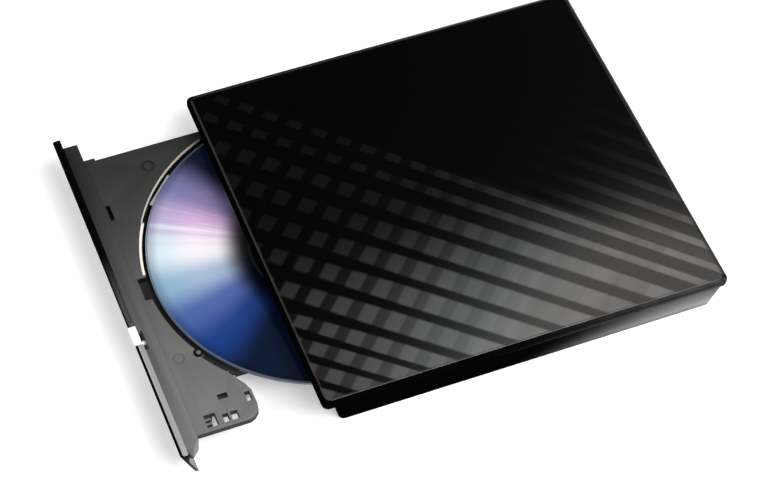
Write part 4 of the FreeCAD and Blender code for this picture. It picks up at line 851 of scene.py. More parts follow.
@dataclass(frozen=True)
class WovenLid(Finish):
    """The lid's gloss black with two crossing families of printed bands.

    The print is strong at one corner and dies away to plain black at the
    opposite one; this fade is partly the print's own and partly painted light.
    Its lengths are in millimetres from the lid's middle.
    """

    middle: tuple[float, float] = (0.0, 25.45)
    reach: tuple[float, float] = (69.85, 74.45)
    top: float = 20.33
    long_pitch: float = 8.6
    long_start: float = -7.8
    lean: float = 0.028
    fan: float = 0.0008
    long_stretch: float = 0.27
    stretch_from: float = 8.0
    stretch_to: float = 72.0
    cross_pitch: float = 9.6
    cross_start: float = 0.0
    second_pitch: float = 23.0
    fade_line: float = -7.6

    def build(self) -> bpy.types.Material:
        """Builds the lid's coat and print."""
        material, sheet, shader = started(self.name)
        place = sheet.place()
        shift = (self.middle[0] * MM, self.middle[1] * MM, 0.0)
        across, along, height = sheet.split(sheet.stretched(place, (LENGTH_UNIT_SCALE,) * 3, shift))
        sideways = sheet.maths("MULTIPLY", sheet.maths("SUBTRACT", across, along), DIAGONAL)
        rising = sheet.maths("MULTIPLY", sheet.maths("ADD", across, along), DIAGONAL)
        value, tint = self.print_level(sheet, sideways, rising)
        on_top = sheet.fade(height, self.top - 0.05, self.top)
        # Painted light: the black under the print is a little lighter towards the rear right corner.
        base = sheet.mix(sheet.fade(rising, -70.0, 70.0), (0.0005, 0.0005, 0.0005), (0.002, 0.002, 0.002))
        shade = sheet.mix(1.0, tint, sheet.joined(value, value, value), "MULTIPLY")
        printed = sheet.mix(1.0, base, shade, "ADD")
        marks = sheet.use(Effect.HANDLING, Place=place, Amount=0.03)
        edges = sheet.use(Effect.EDGES, Place=place, Amount=0.15)
        # Painted highlight: a thin warm line just inside the edge of the top face, where the bevel starts.
        inward = sheet.maths("MINIMUM", *[
            sheet.maths("SUBTRACT", far, sheet.maths("ABSOLUTE", where))
            for far, where in zip(self.reach, (across, along))
        ])
        ridge = sheet.fade(sheet.maths("ABSOLUTE", sheet.maths("SUBTRACT", inward, 0.25)), 0.4, 0.1, 0.0, 0.6)
        printed = sheet.mix(ridge, printed, (0.040, 0.034, 0.028))
        colour = sheet.mix(on_top, (0.001, 0.001, 0.001), printed)
        colour = sheet.mix(edges.outputs["Mask"], colour, (0.05, 0.05, 0.055))
        sheet.feed(shader.inputs["Base Color"], colour)
        rough = sheet.maths("ADD", sheet.fade(value, 0.0, 0.12, 0.1, 0.3), marks.outputs["Roughness"])
        sheet.feed(shader.inputs["Roughness"], rough)
        sheet.feed(shader.inputs["Coat Weight"], sheet.maths("MULTIPLY", on_top, 0.3))
        # Painted reflection: the lid's sides shine more towards the rear.
        behind = sheet.fade(along, -36.0, 70.0)
        painted_side_reflection = sheet.maths("MULTIPLY", sheet.maths("POWER", behind, 2.5), 0.1)
        shine = sheet.maths("MULTIPLY", sheet.maths("SUBTRACT", 1.0, on_top), painted_side_reflection)
        shine = sheet.maths("MULTIPLY_ADD", on_top, 0.08, shine)
        sheet.feed(shader.inputs["Specular IOR Level"], shine)
        orange_peel = sheet.noise(place, 420.0, 1.0, 0.4)
        sheet.feed(shader.inputs["Normal"], sheet.bump(orange_peel, 0.004 * MM, 0.25))
        shader.inputs["Coat Roughness"].default_value = 0.03
        return material

    def print_level(self, sheet: Sheet, sideways: Term, rising: Term) -> tuple[bpy.types.NodeSocket, ...]:
        """Works out how light the print is at a place on the lid.

        Args:
            sheet: The material's sheet.
            sideways: The distance across the long bands.
            rising: The distance along them.

        Returns:
            The print's level and its tint.
        """
        lean = sheet.maths("MULTIPLY_ADD", sideways, self.fan, self.lean)
        leant = sheet.maths("MULTIPLY_ADD", rising, lean, sideways)
        beyond = sheet.maths("SUBTRACT", leant, self.stretch_from)
        beyond = sheet.maths("MAXIMUM", beyond, 0.0)
        beyond = sheet.maths("MINIMUM", beyond, self.stretch_to - self.stretch_from)
        pressed = sheet.maths("SUBTRACT", leant, sheet.maths("MULTIPLY", beyond, self.long_stretch))
        width = sheet.maths(
            "ADD", 0.36, sheet.maths(
                "MULTIPLY", sheet.fade(sideways, -2.0, 30.0, 0.0, 0.32),
                sheet.fade(rising, -45.0, 10.0, 0.45, 1.0)
            )
        )
        long_bands = sheet.use(
            Effect.BANDS, Across=pressed, Pitch=self.long_pitch, Start=self.long_start, Share=width,
            Softness=0.055
        ).outputs["Mask"]
        cross_bands = sheet.use(
            Effect.BANDS, Across=rising, Pitch=self.cross_pitch, Start=self.cross_start, Share=0.56,
            Softness=0.06
        ).outputs["Mask"]
        slow_bands = sheet.use(
            Effect.BANDS, Across=rising, Pitch=self.second_pitch, Start=4.0, Share=0.45, Softness=0.05
        ).outputs["Mask"]
        # Brightness envelopes of the print, rising towards the rear right corner: partly the print's own fade
        # and partly painted light.
        reach = sheet.maths("DIVIDE", sheet.maths("ADD", rising, 55.0), 105.0, clamp=True)
        level = sheet.maths("MULTIPLY_ADD", sheet.maths("POWER", reach, 2.2), 0.127, 0.021)
        level = sheet.maths("MULTIPLY", level, sheet.fade(sideways, 25.0, 70.0, 1.0, 1.3))
        gap = sheet.fade(rising, -45.0, 50.0, 0.04, 0.94)
        cell = sheet.maths("MULTIPLY", cross_bands, sheet.maths("SUBTRACT", 1.0, gap))
        cell = sheet.maths("ADD", gap, cell)
        lift = sheet.maths("MULTIPLY", slow_bands, sheet.fade(rising, -10.0, 30.0, 0.0, 0.12))
        cell = sheet.maths("ADD", cell, lift)
        between = sheet.fade(rising, -8.0, 66.0, 0.02, 0.4)
        mask = sheet.maths("ADD", between, sheet.maths(
            "MULTIPLY", long_bands, sheet.maths("SUBTRACT", cell, between)))
        spread = sheet.maths("POWER", sheet.fade(rising, 5.0, 75.0), 2.2)
        spread = sheet.maths("MULTIPLY_ADD", spread, 1.6, 0.03)
        growth = sheet.maths("POWER", 2.718, sheet.maths("DIVIDE", sideways, 27.0))
        far = sheet.maths("MULTIPLY", growth, spread)
        near = sheet.fade(sideways, self.fade_line - 1.2, self.fade_line + 1.2)
        envelope = sheet.maths("ADD", sheet.maths("MULTIPLY", near, sheet.maths("SUBTRACT", 1.0, far)), far)
        value = sheet.maths("MULTIPLY", sheet.maths("MULTIPLY", level, mask), envelope)
        # One more envelope of the same kind, partly painted light.
        slant = sheet.maths("MULTIPLY_ADD", sideways, 1.3, rising)
        value = sheet.maths("MULTIPLY", value, sheet.fade(slant, 5.0, 82.0, 0.15, 0.74))
        cool = sheet.fade(rising, -5.0, 22.0)
        tint = sheet.mix(cool, (1.0, 0.97, 0.96), (0.97, 1.0, 1.0))
        tint = sheet.mix(sheet.fade(rising, 25.0, 70.0), tint, (1.0, 0.96, 0.93))
        return value, tint


# Colours of the disc's painted rainbow reflection, from dark navy to its palest.
DARK_NAVY = (0.001, 0.004, 0.015)
DEEP = (0.01, 0.04, 0.2)
BLUE = (0.08, 0.12, 0.35)
ICE = (0.35, 0.45, 0.6)
PALE = (0.9, 0.85, 0.9)
ROSE = (0.7, 0.45, 0.7)
VIOLET = (0.25, 0.2, 0.4)
RAINBOW = (DARK_NAVY, VIOLET, ROSE, PALE, ICE, BLUE, DEEP, DARK_NAVY)


@dataclass(frozen=True)
class Fan:
    """A fan of painted reflected light: where it starts and ends, in turns, and its colours in order."""

    start: float
    end: float
    colours: tuple[Colour, ...] = RAINBOW

    def light(self, sheet: Sheet, turn: Term) -> bpy.types.NodeSocket:
        """Lays the fan's colours evenly from its start to its end."""
        step = (self.end - self.start) / (len(self.colours) - 1)
        return sheet.ramp(turn, [(self.start + step * k, colour) for k, colour in enumerate(self.colours)])


@dataclass(frozen=True)
class RainbowDisc(Finish):
    """The data side of a disc: metal under clear plastic, with two opposite fans of painted reflected light.
    """

    centre: tuple[float, float] = (0.0, -26.6)
    hub: float = 20.5
    data_from: float = 24.0
    data_to: float = 59.2
    fans: tuple[Fan, Fan] = (Fan(0.08, 0.38), Fan(0.62, 0.82, RAINBOW[::-1]))

    def build(self) -> bpy.types.Material:
        """Builds the disc's data side, its clear hub and its rim."""
        material, sheet, shader = started(self.name)
        place = sheet.place()
        shift = (self.centre[0] * MM, self.centre[1] * MM, 0.0)
        flat = sheet.stretched(place, (LENGTH_UNIT_SCALE,) * 3, shift)
        polar = sheet.use(Effect.TURNING, Place=flat)
        radius, turn = polar.outputs["Radius"], polar.outputs["Turn"]
        # Painted reflection: the rainbow fans, with painted highlight rays, and a cyan tint towards the rim.
        painted_rainbow = sheet.mix(1.0, *[fan.light(sheet, turn) for fan in self.fans], "ADD")
        outward = sheet.fade(radius, 42.0, 56.0)
        painted_rays = self.painted_rays(sheet, turn, radius)
        painted_rainbow = sheet.mix(painted_rays, painted_rainbow, (1.0, 0.97, 1.0))
        painted_rainbow = sheet.mix(outward, painted_rainbow, sheet.mix(1.0, painted_rainbow, (0.75, 0.95, 0.95), "MULTIPLY"))
        # Painted shade: darker towards the hub, under the lid's shadow, and where the data area starts.
        inner = sheet.maths("POWER", sheet.fade(radius, self.data_from, self.data_from + 11.0), 1.5)
        inner = sheet.maths("MULTIPLY_ADD", inner, 0.97, 0.03)
        painted_rainbow = sheet.mix(1.0, painted_rainbow, sheet.joined(inner, inner, inner), "MULTIPLY")
        lead_out = sheet.fade(radius, 55.0, self.data_to, 1.0, 0.62)
        painted_rainbow = sheet.mix(1.0, painted_rainbow, sheet.joined(lead_out, lead_out, lead_out), "MULTIPLY")
        rim = sheet.fade(radius, self.data_to - 0.1, self.data_to + 0.2)
        colour = sheet.mix(sheet.maths("MULTIPLY", rim, 0.8), painted_rainbow, (0.1, 0.12, 0.16))
        rings = self.hub_rings(sheet, radius)
        at_hub = sheet.fade(radius, self.data_from - 0.3, self.data_from, 1.0, 0.0)
        colour = sheet.mix(at_hub, colour, sheet.mix(rings, (0.004, 0.010, 0.013), (0.022, 0.038, 0.044)))
        marks = sheet.use(Effect.HANDLING, Place=place, Amount=0.06)
        fine = sheet.use(Effect.BANDS, Across=radius, Pitch=0.35, Start=0.0, Share=0.5, Softness=0.2)
        sheet.feed(shader.inputs["Base Color"], colour)
        metal = sheet.maths("MULTIPLY", sheet.fade(radius, self.data_from - 0.2, self.data_from), 0.1)
        sheet.feed(shader.inputs["Metallic"], metal)
        sheet.feed(shader.inputs["Roughness"], sheet.maths("ADD", 0.24, marks.outputs["Roughness"]))
        sheet.feed(shader.inputs["Normal"], sheet.bump(fine.outputs["Mask"], 0.0015 * MM, 0.2))
        shader.inputs["Coat Weight"].default_value = 0.8
        shader.inputs["Coat Roughness"].default_value = 0.02
        return material

    def painted_rays(self, sheet: Sheet, turn: Term, radius: Term) -> bpy.types.NodeSocket:
        """Gives the painted highlights: bright narrow rays that run out from the hub.

        Args:
            sheet: The material's sheet.
            turn: The place round the disc.
            radius: The distance from its centre.

        Returns:
            How strong a ray is there.
        """
        round_it, along_it = sheet.maths("MULTIPLY", turn, 420.0), sheet.maths("MULTIPLY", radius, 0.02)
        streak_place = sheet.joined(round_it, along_it, 0.0)
        streak = sheet.fade(sheet.noise(streak_place, 1.0, 2.0, 0.6), 0.5, 0.72)
        near_bright = sheet.fade(sheet.maths("ABSOLUTE", sheet.maths("SUBTRACT", turn, 0.180)), 0.05, 0.006)
        beam = sheet.fade(sheet.maths("ABSOLUTE", sheet.maths("SUBTRACT", turn, 0.19)), 0.008, 0.002)
        thin = sheet.fade(sheet.maths("ABSOLUTE", sheet.maths("SUBTRACT", turn, 0.175)), 0.005, 0.001)
        both = sheet.maths("MAXIMUM", sheet.maths("MULTIPLY", beam, 0.3), sheet.maths("MULTIPLY", thin, 0.55))
        streak = sheet.maths("MULTIPLY", sheet.maths("MULTIPLY", streak, near_bright), 0.6)
        return sheet.maths("MAXIMUM", both, streak)

    def hub_rings(self, sheet: Sheet, radius: Term) -> bpy.types.NodeSocket:
        """Gives the moulded rings of the clear hub.

        Args:
            sheet: The material's sheet.
            radius: The distance from the disc's centre.

        Returns:
            A mask that is 1 on a ring.
        """
        lines = []
        for place, half in ((17.2, 0.5), (self.hub, 0.25), (self.data_from - 0.5, 0.35)):
            off = sheet.maths("ABSOLUTE", sheet.maths("SUBTRACT", radius, place))
            lines.append(sheet.fade(off, half + 0.15, half))
        return sheet.maths("MAXIMUM", lines[0], sheet.maths("MAXIMUM", lines[1], lines[2]))


@dataclass(frozen=True)
class WoundCopper(Finish):
    """Enamelled copper wire laid turn on turn over stacked steel."""

    wire: float = 0.12

    def build(self) -> bpy.types.Material:
        """Builds the windings."""
        material, sheet, shader = started(self.name)
        place = sheet.place()
        height = sheet.maths("MULTIPLY", sheet.split(place)[2], LENGTH_UNIT_SCALE)
        turns = sheet.use(Effect.BANDS, Across=height, Pitch=self.wire, Start=0.0, Share=0.6, Softness=0.25)
        tone = sheet.noise(place, 600.0, 2.0, 0.5)
        colour = sheet.mix(turns.outputs["Mask"], (0.09, 0.02, 0.006), (0.42, 0.13, 0.04))
        colour = sheet.mix(sheet.maths("MULTIPLY", tone, 0.4), colour, (0.2, 0.06, 0.02))
        sheet.feed(shader.inputs["Base Color"], colour)
        sheet.feed(shader.inputs["Roughness"], sheet.fade(tone, 0.2, 0.8, 0.25, 0.4))
        sheet.feed(shader.inputs["Normal"], sheet.bump(turns.outputs["Mask"], 0.04 * MM, 0.8))
        shader.inputs["Metallic"].default_value = 0.7
        shader.inputs["Coat Weight"].default_value = 0.5
        return material


LID = WovenLid("lid black, woven print", "lid_black")
SHELL = ShellPlastic(
    "shell gloss black", "shell_black", (0.001, 0.001, 0.001), 0.16, grain=900.0, grain_depth=0.004 * MM,
    spread=0.1, specular=0.5, handling=0.04, wear_colour=(0.02, 0.02, 0.02), dust=0.004,
)
BEZEL = BezelPlastic(
    "bezel gloss black", "bezel_black", (0.0015, 0.0015, 0.0016), 0.14, grain=900.0, grain_depth=0.003 * MM,
    spread=0.1, specular=0.08, handling=0.03, wear=0.1, wear_colour=(0.04, 0.04, 0.04), dust=0.004,
)
# Painted shade: the tray is darker towards its left end.
TRAY = TrayPlastic(
    "tray matt grey", "tray_grey", (0.133, 0.134, 0.133), 0.55, grain=1500.0, grain_depth=0.03 * MM,
    spread=0.1, specular=0.3, wear=0.25, wear_colour=(0.16, 0.16, 0.16), dust=0.01,
    painted_falloff=PaintedFalloff(-65.0, 65.0),
)
# Painted shade: the beam is darker towards its left end.
BEAM = MouldedPlastic(
    "beam satin grey", "beam_grey", (0.145, 0.146, 0.147), 0.45, grain=1300.0, grain_depth=0.015 * MM,
    spread=0.12, specular=0.3, wear=0.25, wear_colour=(0.14, 0.14, 0.14), dust=0.01,
    painted_falloff=PaintedFalloff(-65.0, 65.0),
)
BUTTON = MouldedPlastic(
    "button pearl white", "button_white", (0.86, 0.86, 0.87), 0.3, grain=900.0, grain_depth=0.006 * MM,
    spread=0.05, coat=0.4, wear_colour=(0.6, 0.6, 0.6), dust=0.01,
)
GUIDE = MouldedPlastic(
    "slick white plastic", "guide_plastic", (0.70, 0.70, 0.66), 0.38, grain=1000.0, grain_depth=0.01 * MM,
    spread=0.08, wear_colour=(0.5, 0.5, 0.48),
)
CHIP = MouldedPlastic(
    "chip black", "chip_black", (0.022, 0.022, 0.024), 0.5, grain=2200.0, grain_depth=0.02 * MM, spread=0.2,
)
INSULATOR = MouldedPlastic(
    "socket insulator", "socket_insulator", (0.03, 0.03, 0.032), 0.45, grain_depth=0.01 * MM, spread=0.1,
)
CLAMP = MouldedPlastic(
    "hub black", "clamp_black", (0.02, 0.02, 0.022), 0.4, grain_depth=0.012 * MM, spread=0.12,
)
FEET = SoftRubber("feet rubber", "feet_rubber", (0.02, 0.02, 0.021))
DAMPER = SoftRubber("damper rubber", "damper_rubber", (0.035, 0.035, 0.037), 1400.0, 0.03 * MM)
FOAM = SoftRubber("cushion foam", "foam", (0.035, 0.035, 0.038), 1900.0, 0.12 * MM, 0.4)
SCREW = PlatedMetal("zinc screw", "screw_steel", (0.52, 0.52, 0.54), 0.3)
SOCKET = PlatedMetal("nickel socket", "socket_steel", (0.66, 0.65, 0.63), 0.24, 1800.0)
SHEET_STEEL = PlatedMetal("plated sheet", "drive_steel", (0.58, 0.59, 0.60), 0.36, 1500.0)
RAIL = PlatedMetal("rail steel", "rail_steel", (0.62, 0.62, 0.64), 0.28, 3200.0)
TRIM = PlatedMetal(
    "bright trim", "bright_trim", (0.5, 0.5, 0.51), 0.3, 3600.0, 0.002 * MM, 0.0, 0.05, metallic=0.45,
)
FRAME = PlatedMetal("frame steel", "frame_steel", (0.5, 0.5, 0.52), 0.4, 1200.0)
ROD = PlatedMetal("ground rod", "rod_steel", (0.72, 0.72, 0.74), 0.14, 4200.0)
MOTOR = PlatedMetal("motor can", "motor_steel", (0.55, 0.55, 0.57), 0.3, 2000.0)
CAST = PlatedMetal("cast sled", "sled_metal", (0.48, 0.48, 0.5), 0.46, 900.0, 0.02 * MM, 0.0)
BOARD = CircuitBoard("green board", "circuit_green")
FILM = FilmStrip("flex film", "flex_film")
PIPE = ClearPlastic("clear pipe", "clear_pipe", (0.85, 0.9, 0.95))
LAMP = ClearPlastic("lamp body", "lamp", (0.35, 0.6, 0.25), 0.15, 0.6)
GLASS = ClearPlastic("lens glass", "lens_glass", (0.55, 0.6, 0.85), 0.02, 0.85)
COPPER = WoundCopper("wound copper", "stator")
DISC = RainbowDisc("disc data side", "disc")


# ----------------------------------------------------------------- modelling


def deselect_all() -> None:
    """Leaves object mode with nothing selected."""
    active = bpy.context.view_layer.objects.active
    if active is not None and active.mode != "OBJECT":
        bpy.ops.object.mode_set(mode="OBJECT")
    bpy.ops.object.select_all(action="DESELECT")


def take_up(piece: bpy.types.Object) -> None:
    """Makes a piece the only one selected, and the active one."""
    deselect_all()
    piece.select_set(True)
    bpy.context.view_layer.objects.active = piece


def apply_modifier(piece: bpy.types.Object, kind: str, **settings: object) -> None:
    """Adds a modifier to a piece and applies it.

    Args:
        piece: The piece that is changed.
        kind: The modifier's type.
        settings: Properties to set on it.
    """
    take_up(piece)
    modifier = piece.modifiers.new(kind.title(), kind)
    for key, value in settings.items():
        setattr(modifier, key, value)
    bpy.ops.object.modifier_apply(modifier=modifier.name)


def rounded(piece: bpy.types.Object, width: float, rounds: int = 2) -> None:
    """Breaks a piece's sharp edges.

    Args:
        piece: The piece that is changed.
        width: How much of each edge goes.
        rounds: The steps in each broken edge.
    """
    apply_modifier(
        piece, "BEVEL", width=width, segments=rounds, limit_method="ANGLE", angle_limit=CREASE_ANGLE,
        use_clamp_overlap=True, miter_outer="MITER_ARC", harden_normals=False,
    )
    take_up(piece)
    bpy.ops.object.shade_smooth_by_angle(angle=SMOOTH_ANGLE)


def softened(node: str, name: str, width: float, rounds: int = 2) -> bpy.types.Object:
    """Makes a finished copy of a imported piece, with its edges broken.

    Args:
        node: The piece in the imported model.
        name: The copy's name.
        width: How much of each sharp edge goes.
        rounds: The steps in each broken edge.

    Returns:
        The copy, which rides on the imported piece's body and stands for it.
    """
    source = frame["nodes"][node]
    piece = bpy.data.objects.new(name, source.data.copy())
    piece.data.name = name
    bpy.context.collection.objects.link(piece)
    take_up(piece)
    bpy.ops.object.mode_set(mode="EDIT")
    bpy.ops.mesh.select_all(action="SELECT")
    bpy.ops.mesh.remove_doubles(threshold=WELD)
    bpy.ops.mesh.customdata_custom_splitnormals_clear()
    bpy.ops.mesh.mark_sharp(clear=True)
    bpy.ops.mesh.dissolve_limited(angle_limit=FLAT_ANGLE)
    bpy.ops.object.mode_set(mode="OBJECT")
    rounded(piece, width, rounds)
    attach(piece, source["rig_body"])
    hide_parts(node)
    return piece


def turned(
    name: str, centre: Vector, profile: Sequence[tuple[float, float]], facets: int = 96
) -> bpy.types.Object:
    """Turns a closed outline round an upright axis.

    Args:
        name: The piece's name.
        centre: A point on the axis, at height 0 of the outline.
        profile: The outline's radii and heights, each radius over 0.
        facets: The facets round the piece.

    Returns:
        The turned piece.
    """
    deselect_all()
    first_radius, first_height = profile[0]
    bpy.ops.mesh.primitive_circle_add(
        vertices=facets, radius=first_radius, fill_type="NOTHING",
        location=(centre.x, centre.y, centre.z + first_height),
    )
    piece = bpy.context.view_layer.objects.active
    piece.name = piece.data.name = name
    bpy.ops.object.transform_apply(location=True, rotation=True, scale=True)
    bpy.ops.object.mode_set(mode="EDIT")
    bpy.ops.mesh.select_mode(type="EDGE")
    bpy.ops.mesh.select_all(action="SELECT")
    radius, height = first_radius, first_height
    for next_radius, next_height in (*profile[1:], profile[0]):
        bpy.ops.mesh.extrude_region_move(TRANSFORM_OT_translate={"value": (0.0, 0.0, next_height - height)})
        ratio = next_radius / radius
        about = (centre.x, centre.y, centre.z + next_height)
        bpy.ops.transform.resize(value=(ratio, ratio, 1.0), center_override=about)
        radius, height = next_radius, next_height
    bpy.ops.mesh.select_all(action="SELECT")
    bpy.ops.mesh.remove_doubles(threshold=WELD)
    bpy.ops.mesh.normals_make_consistent(inside=False)
    bpy.ops.object.mode_set(mode="OBJECT")
    take_up(piece)
    bpy.ops.object.shade_smooth_by_angle(angle=SMOOTH_ANGLE)
    return piece


# ---------------------------------------------------------------- assemblies


@dataclass(frozen=True)
class Copy:
    """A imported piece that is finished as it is, with its edges broken."""

    node: str
    name: str
    width: float
    finish: Finish
    rounds: int = 2


@dataclass
class Assembly:
    """Pieces that are made, dressed and reported together."""

    title: str = "assembly"
    pieces: list[bpy.types.Object] = field(default_factory=list)

    def copies(self) -> Iterable[Copy]:
        """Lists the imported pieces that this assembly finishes."""
        return ()

    def build(self) -> None:
        """Builds and dresses every listed piece."""
        for item in self.copies():
            piece = softened(item.node, item.name, item.width, item.rounds)
            item.finish.put_on(piece)
            self.pieces.append(piece)
        self.model()
        for piece in self.pieces:
            log.info("%s: %s, %d faces", self.title, piece.name, len(piece.data.polygons))

    def model(self) -> None:
        """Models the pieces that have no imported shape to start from."""

    def add(self, piece: bpy.types.Object, finish: Finish, body: str, *nodes: str) -> None:
        """Takes a new piece into the assembly.

        Args:
            piece: The finished piece.
            finish: Its finish.
            body: The body that it moves with.
            nodes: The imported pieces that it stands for.
        """
        finish.put_on(piece)
        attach(piece, body)
        if nodes:
            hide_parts(*nodes)
        self.pieces.append(piece)


@dataclass
class CaseShells(Assembly):
    """The lid, the base shell and what is fixed to them outside."""

    title: str = "case"
    edge: float = 0.18 * MM

    def copies(self) -> Iterable[Copy]:
        """Lists the shells, feet and screws."""
        return (
            Copy("top_cover", "lid", self.edge, LID),
            Copy("bottom_shell", "base_shell", self.edge, SHELL),
            Copy("rubber_feet", "feet", 0.15 * MM, FEET),
            Copy("case_screws", "case_screws", 0.06 * MM, SCREW),
            Copy("cushion_strips", "cushions", 0.2 * MM, FOAM),
        )


@dataclass
class Bridge(Assembly):
    """The bridge board with its two sockets."""

    title: str = "bridge"
    edge: float = 0.08 * MM

    def copies(self) -> Iterable[Copy]:
        """Lists the board, its parts and its sockets."""
        return (
            Copy("bridge_board", "bridge_board", self.edge, BOARD),
            Copy("bridge_parts", "bridge_parts", self.edge, CHIP),
            Copy("bridge_screws", "bridge_screws", 0.05 * MM, SCREW),
            Copy("usb_socket", "lead_socket", 0.1 * MM, SOCKET),
            Copy("usb_tongue", "socket_tongue", 0.05 * MM, INSULATOR),
            Copy("sata_socket", "drive_socket", self.edge, INSULATOR),
        )


@dataclass
class DriveHousing(Assembly):
    """The drive's pressed housing, its connector and its film cable."""

    title: str = "drive housing"
    edge: float = 0.12 * MM

    def copies(self) -> Iterable[Copy]:
        """Lists the housing's pieces."""
        return (
            Copy("drive_chassis", "drive_chassis", self.edge, SHEET_STEEL),
            Copy("drive_cover", "drive_cover", self.edge, SHEET_STEEL),
            Copy("cover_screws", "cover_screws", 0.05 * MM, SCREW),
            Copy("connector_board", "connector_board", 0.06 * MM, BOARD),
            Copy("sata_plug", "drive_plug", 0.06 * MM, INSULATOR),
            Copy("flex_cable", "film_cable", 0.03 * MM, FILM),
            Copy("slide_guide_right", "guide_right", 0.1 * MM, GUIDE),
            Copy("slide_guide_left", "guide_left", 0.1 * MM, GUIDE),
            Copy("slide_rail_right", "rail_right", 0.1 * MM, RAIL),
            Copy("slide_rail_left", "rail_left", 0.1 * MM, RAIL),
        )


@dataclass
class TrayFront(Assembly):
    """The bezel, its trim and what stands behind it."""

    title: str = "tray front"
    edge: float = 0.12 * MM

    def copies(self) -> Iterable[Copy]:
        """Lists the front's pieces."""
        return (
            Copy("front_bezel", "bezel", self.edge, BEZEL),
            Copy("chrome_strip", "bright_strip", 0.12 * MM, TRIM),
            Copy("bezel_beam", "bezel_beam", 0.15 * MM, BEAM),
            Copy("eject_button", "eject_button", 0.15 * MM, BUTTON),
            Copy("light_pipe", "light_pipe", 0.06 * MM, PIPE),
            Copy("front_board", "front_board", 0.05 * MM, BOARD),
            Copy("eject_switch", "eject_switch", 0.06 * MM, CHIP),
            Copy("activity_lamp", "activity_lamp", 0.05 * MM, LAMP),
        )


@dataclass
class TrayDeck(Assembly):
    """The moulded tray with its boards and its latch."""

    title: str = "tray"
    edge: float = 0.16 * MM

    def copies(self) -> Iterable[Copy]:
        """Lists the tray and what is fixed under it."""
        return (
            Copy("tray_body", "tray", self.edge, TRAY),
            Copy("main_board", "main_board", 0.06 * MM, BOARD),
            Copy("board_parts", "board_parts", 0.08 * MM, CHIP),
            Copy("board_shield", "board_shield", 0.08 * MM, SHEET_STEEL),
            Copy("latch_solenoid", "latch_solenoid", 0.1 * MM, CHIP),
            Copy("latch_lever", "latch_lever", 0.1 * MM, GUIDE),
        )


@dataclass
class Traverse(Assembly):
    """The traverse frame with its motors, rods, screw and pickup."""

    title: str = "traverse"
    edge: float = 0.1 * MM

    def copies(self) -> Iterable[Copy]:
        """Lists the traverse's pieces."""
        return (
            Copy("traverse_frame", "traverse_frame", self.edge, FRAME),
            Copy("dampers", "dampers", self.edge, DAMPER),
            Copy("damper_screws", "damper_screws", 0.05 * MM, SCREW),
            Copy("guide_rods", "guide_rods", 0.08 * MM, ROD),
            Copy("sled_motor", "sled_motor", 0.12 * MM, MOTOR),
            Copy("spindle_base", "spindle_base", 0.06 * MM, FRAME),
            Copy("stator_core", "stator", 0.04 * MM, COPPER),
            Copy("pickup_sled", "pickup_sled", 0.12 * MM, CAST),
            Copy("lens_cover", "lens_cover", 0.08 * MM, CLAMP),
            Copy("objective_lens", "objective_lens", 0.03 * MM, GLASS),
            Copy("lead_screw", "lead_screw", 0.05 * MM, ROD),
        )


@dataclass
class SpindleAndDisc(Assembly):
    """The spindle, its hub and the disc that is seated on it."""

    title: str = "spindle"
    edge: float = 0.08 * MM
    disc_radius: float = 60.0
    hole_radius: float = 7.5
    ridge_radius: float = 17.2

    def copies(self) -> Iterable[Copy]:
        """Lists the spindle's pieces."""
        return (
            Copy("spindle_rotor", "spindle_rotor", self.edge, MOTOR),
            Copy("turntable_ring", "turntable_ring", self.edge, DAMPER),
            Copy("disc_clamp", "disc_hub", self.edge, CLAMP),
        )

    def model(self) -> None:
        """Models the disc."""
        low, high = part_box("optical_disc")
        centre = (low + high) / 2
        centre.z = low.z
        thick = (high.z - low.z) / MM
        ridge = 0.12
        outline = (
            (self.hole_radius, 0.15), (self.hole_radius, thick - 0.15), (self.hole_radius + 0.15, thick),
            (self.ridge_radius - 0.55, thick), (self.ridge_radius - 0.3, thick + ridge),
            (self.ridge_radius + 0.3, thick + ridge), (self.ridge_radius + 0.55, thick),
            (20.6, thick), (20.7, thick - 0.05), (21.0, thick - 0.05), (21.1, thick),
            (40.0, thick), (self.disc_radius - 0.35, thick),
            (self.disc_radius - 0.1, thick - 0.12), (self.disc_radius, thick - 0.35),
            (self.disc_radius, 0.3), (self.disc_radius - 0.1, 0.1), (self.disc_radius - 0.35, 0.0),
            (18.0, 0.0), (17.6, 0.1), (16.4, 0.1), (16.0, 0.0), (self.hole_radius + 0.15, 0.0),
        )
        piece = turned("disc", centre, [(radius * MM, height * MM) for radius, height in outline], 192)
        self.add(piece, DISC, "spindle", "optical_disc")


# --------------------------------------------------------------------- stage


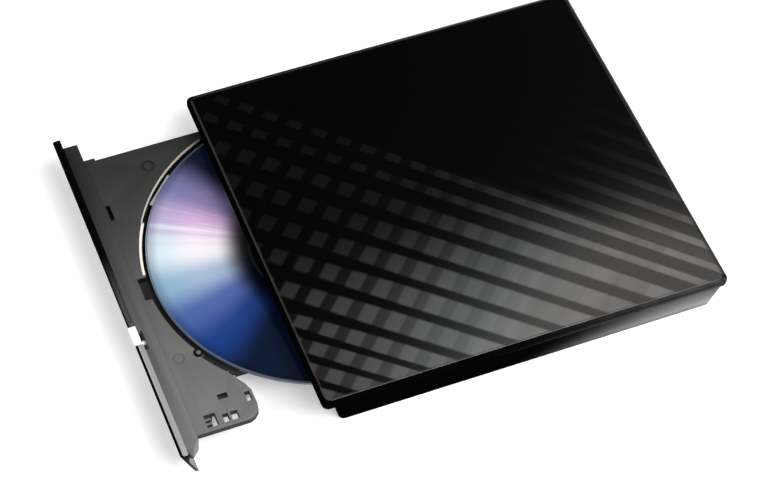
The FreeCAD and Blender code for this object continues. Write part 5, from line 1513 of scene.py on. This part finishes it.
@dataclass
class Stage:
    """The floor, the soft lights and the camera."""

    floor_size: float = 6.0
    camera_place: tuple[float, float, float] = (0.5111, -0.2320, 0.7616)
    camera_turn: tuple[float, float, float] = (36.213, -2.154, 68.329)
    lens: float = 124.1
    shift: tuple[float, float] = (-0.0103, 0.0007)

    def build(self) -> None:
        """Builds the whole stage."""
        self.floor()
        self.sky()
        self.light("key", (0.95, 0.45, 1.25), 1.1, 30.0)
        self.light("back", (0.30, 1.30, 0.85), 0.8, 13.0)
        self.light("fill", (0.35, -1.20, 0.95), 0.8, 8.0)
        self.light("left", (-1.15, -0.85, 0.60), 0.9, 9.0)
        self.camera()

    def floor(self) -> None:
        """Lays the plain pale floor."""
        deselect_all()
        bpy.ops.mesh.primitive_plane_add(size=self.floor_size, location=(0.0, 0.0, CAD_BOX[0][2]))
        plane = bpy.context.view_layer.objects.active
        plane.name = "floor"
        material, sheet, shader = started("pale floor")
        tone = sheet.noise(sheet.place(), 3.0, 2.0, 0.5)
        sheet.feed(shader.inputs["Base Color"], sheet.mix(tone, (0.9, 0.9, 0.9), (0.94, 0.94, 0.94)))
        shader.inputs["Roughness"].default_value = 0.7
        seen = sheet.node("ShaderNodeLightPath").outputs["Is Camera Ray"]
        sheet.feed(shader.inputs["Emission Strength"], sheet.maths("MULTIPLY", seen, 0.3))
        shader.inputs["Emission Color"].default_value = (1.0, 1.0, 1.0, 1.0)
        plane.data.materials.append(material)

    def sky(self) -> None:
        """Makes the surroundings dim in reflections and pale behind the floor."""
        world = bpy.data.worlds.new("studio")
        world.use_nodes = True
        bpy.context.scene.world = world
        sheet = Sheet(world.node_tree)
        background = world.node_tree.nodes["Background"]
        seen = sheet.node("ShaderNodeLightPath").outputs["Is Camera Ray"]
        sheet.feed(background.inputs["Strength"], sheet.maths("MULTIPLY_ADD", seen, 0.90, 0.05))
        background.inputs["Color"].default_value = (0.97, 0.98, 1.0, 1.0)

    def light(self, name: str, place: tuple[float, float, float], size: float, power: float) -> None:
        """Hangs a soft square light that looks at the drive.

        Args:
            name: The light's name.
            place: Where it hangs.
            size: The length of its side.
            power: Its power in watts.
        """
        lamp = bpy.data.lights.new(name, "AREA")
        lamp.size = size
        lamp.energy = power
        holder = bpy.data.objects.new(name, lamp)
        bpy.context.collection.objects.link(holder)
        holder.location = place
        holder.rotation_euler = (-Vector(place)).to_track_quat("-Z", "Y").to_euler()

    def camera(self) -> None:
        """Sets up the camera."""
        data = bpy.data.cameras.new("camera")
        data.lens = self.lens
        data.sensor_width = 36.0
        data.shift_x, data.shift_y = self.shift
        data.clip_start = 0.01
        holder = bpy.data.objects.new("camera", data)
        bpy.context.collection.objects.link(holder)
        holder.location = self.camera_place
        holder.rotation_euler = Euler([math.radians(turn) for turn in self.camera_turn])
        bpy.context.scene.camera = holder


def main() -> None:
    """Builds the drive and its stage, and reports every piece."""
    logging.basicConfig(level=logging.INFO, format="%(name)s: %(message)s")
    bpy.context.scene.view_settings.view_transform = "Standard"
    assemblies = (
        CaseShells(), Bridge(), DriveHousing(), TrayFront(), TrayDeck(), Traverse(), SpindleAndDisc(),
    )
    for assembly in assemblies:
        assembly.build()
    Stage().build()
    log.info("%d pieces in all", sum(len(assembly.pieces) for assembly in assemblies))


if __name__ == "__main__":
    main()
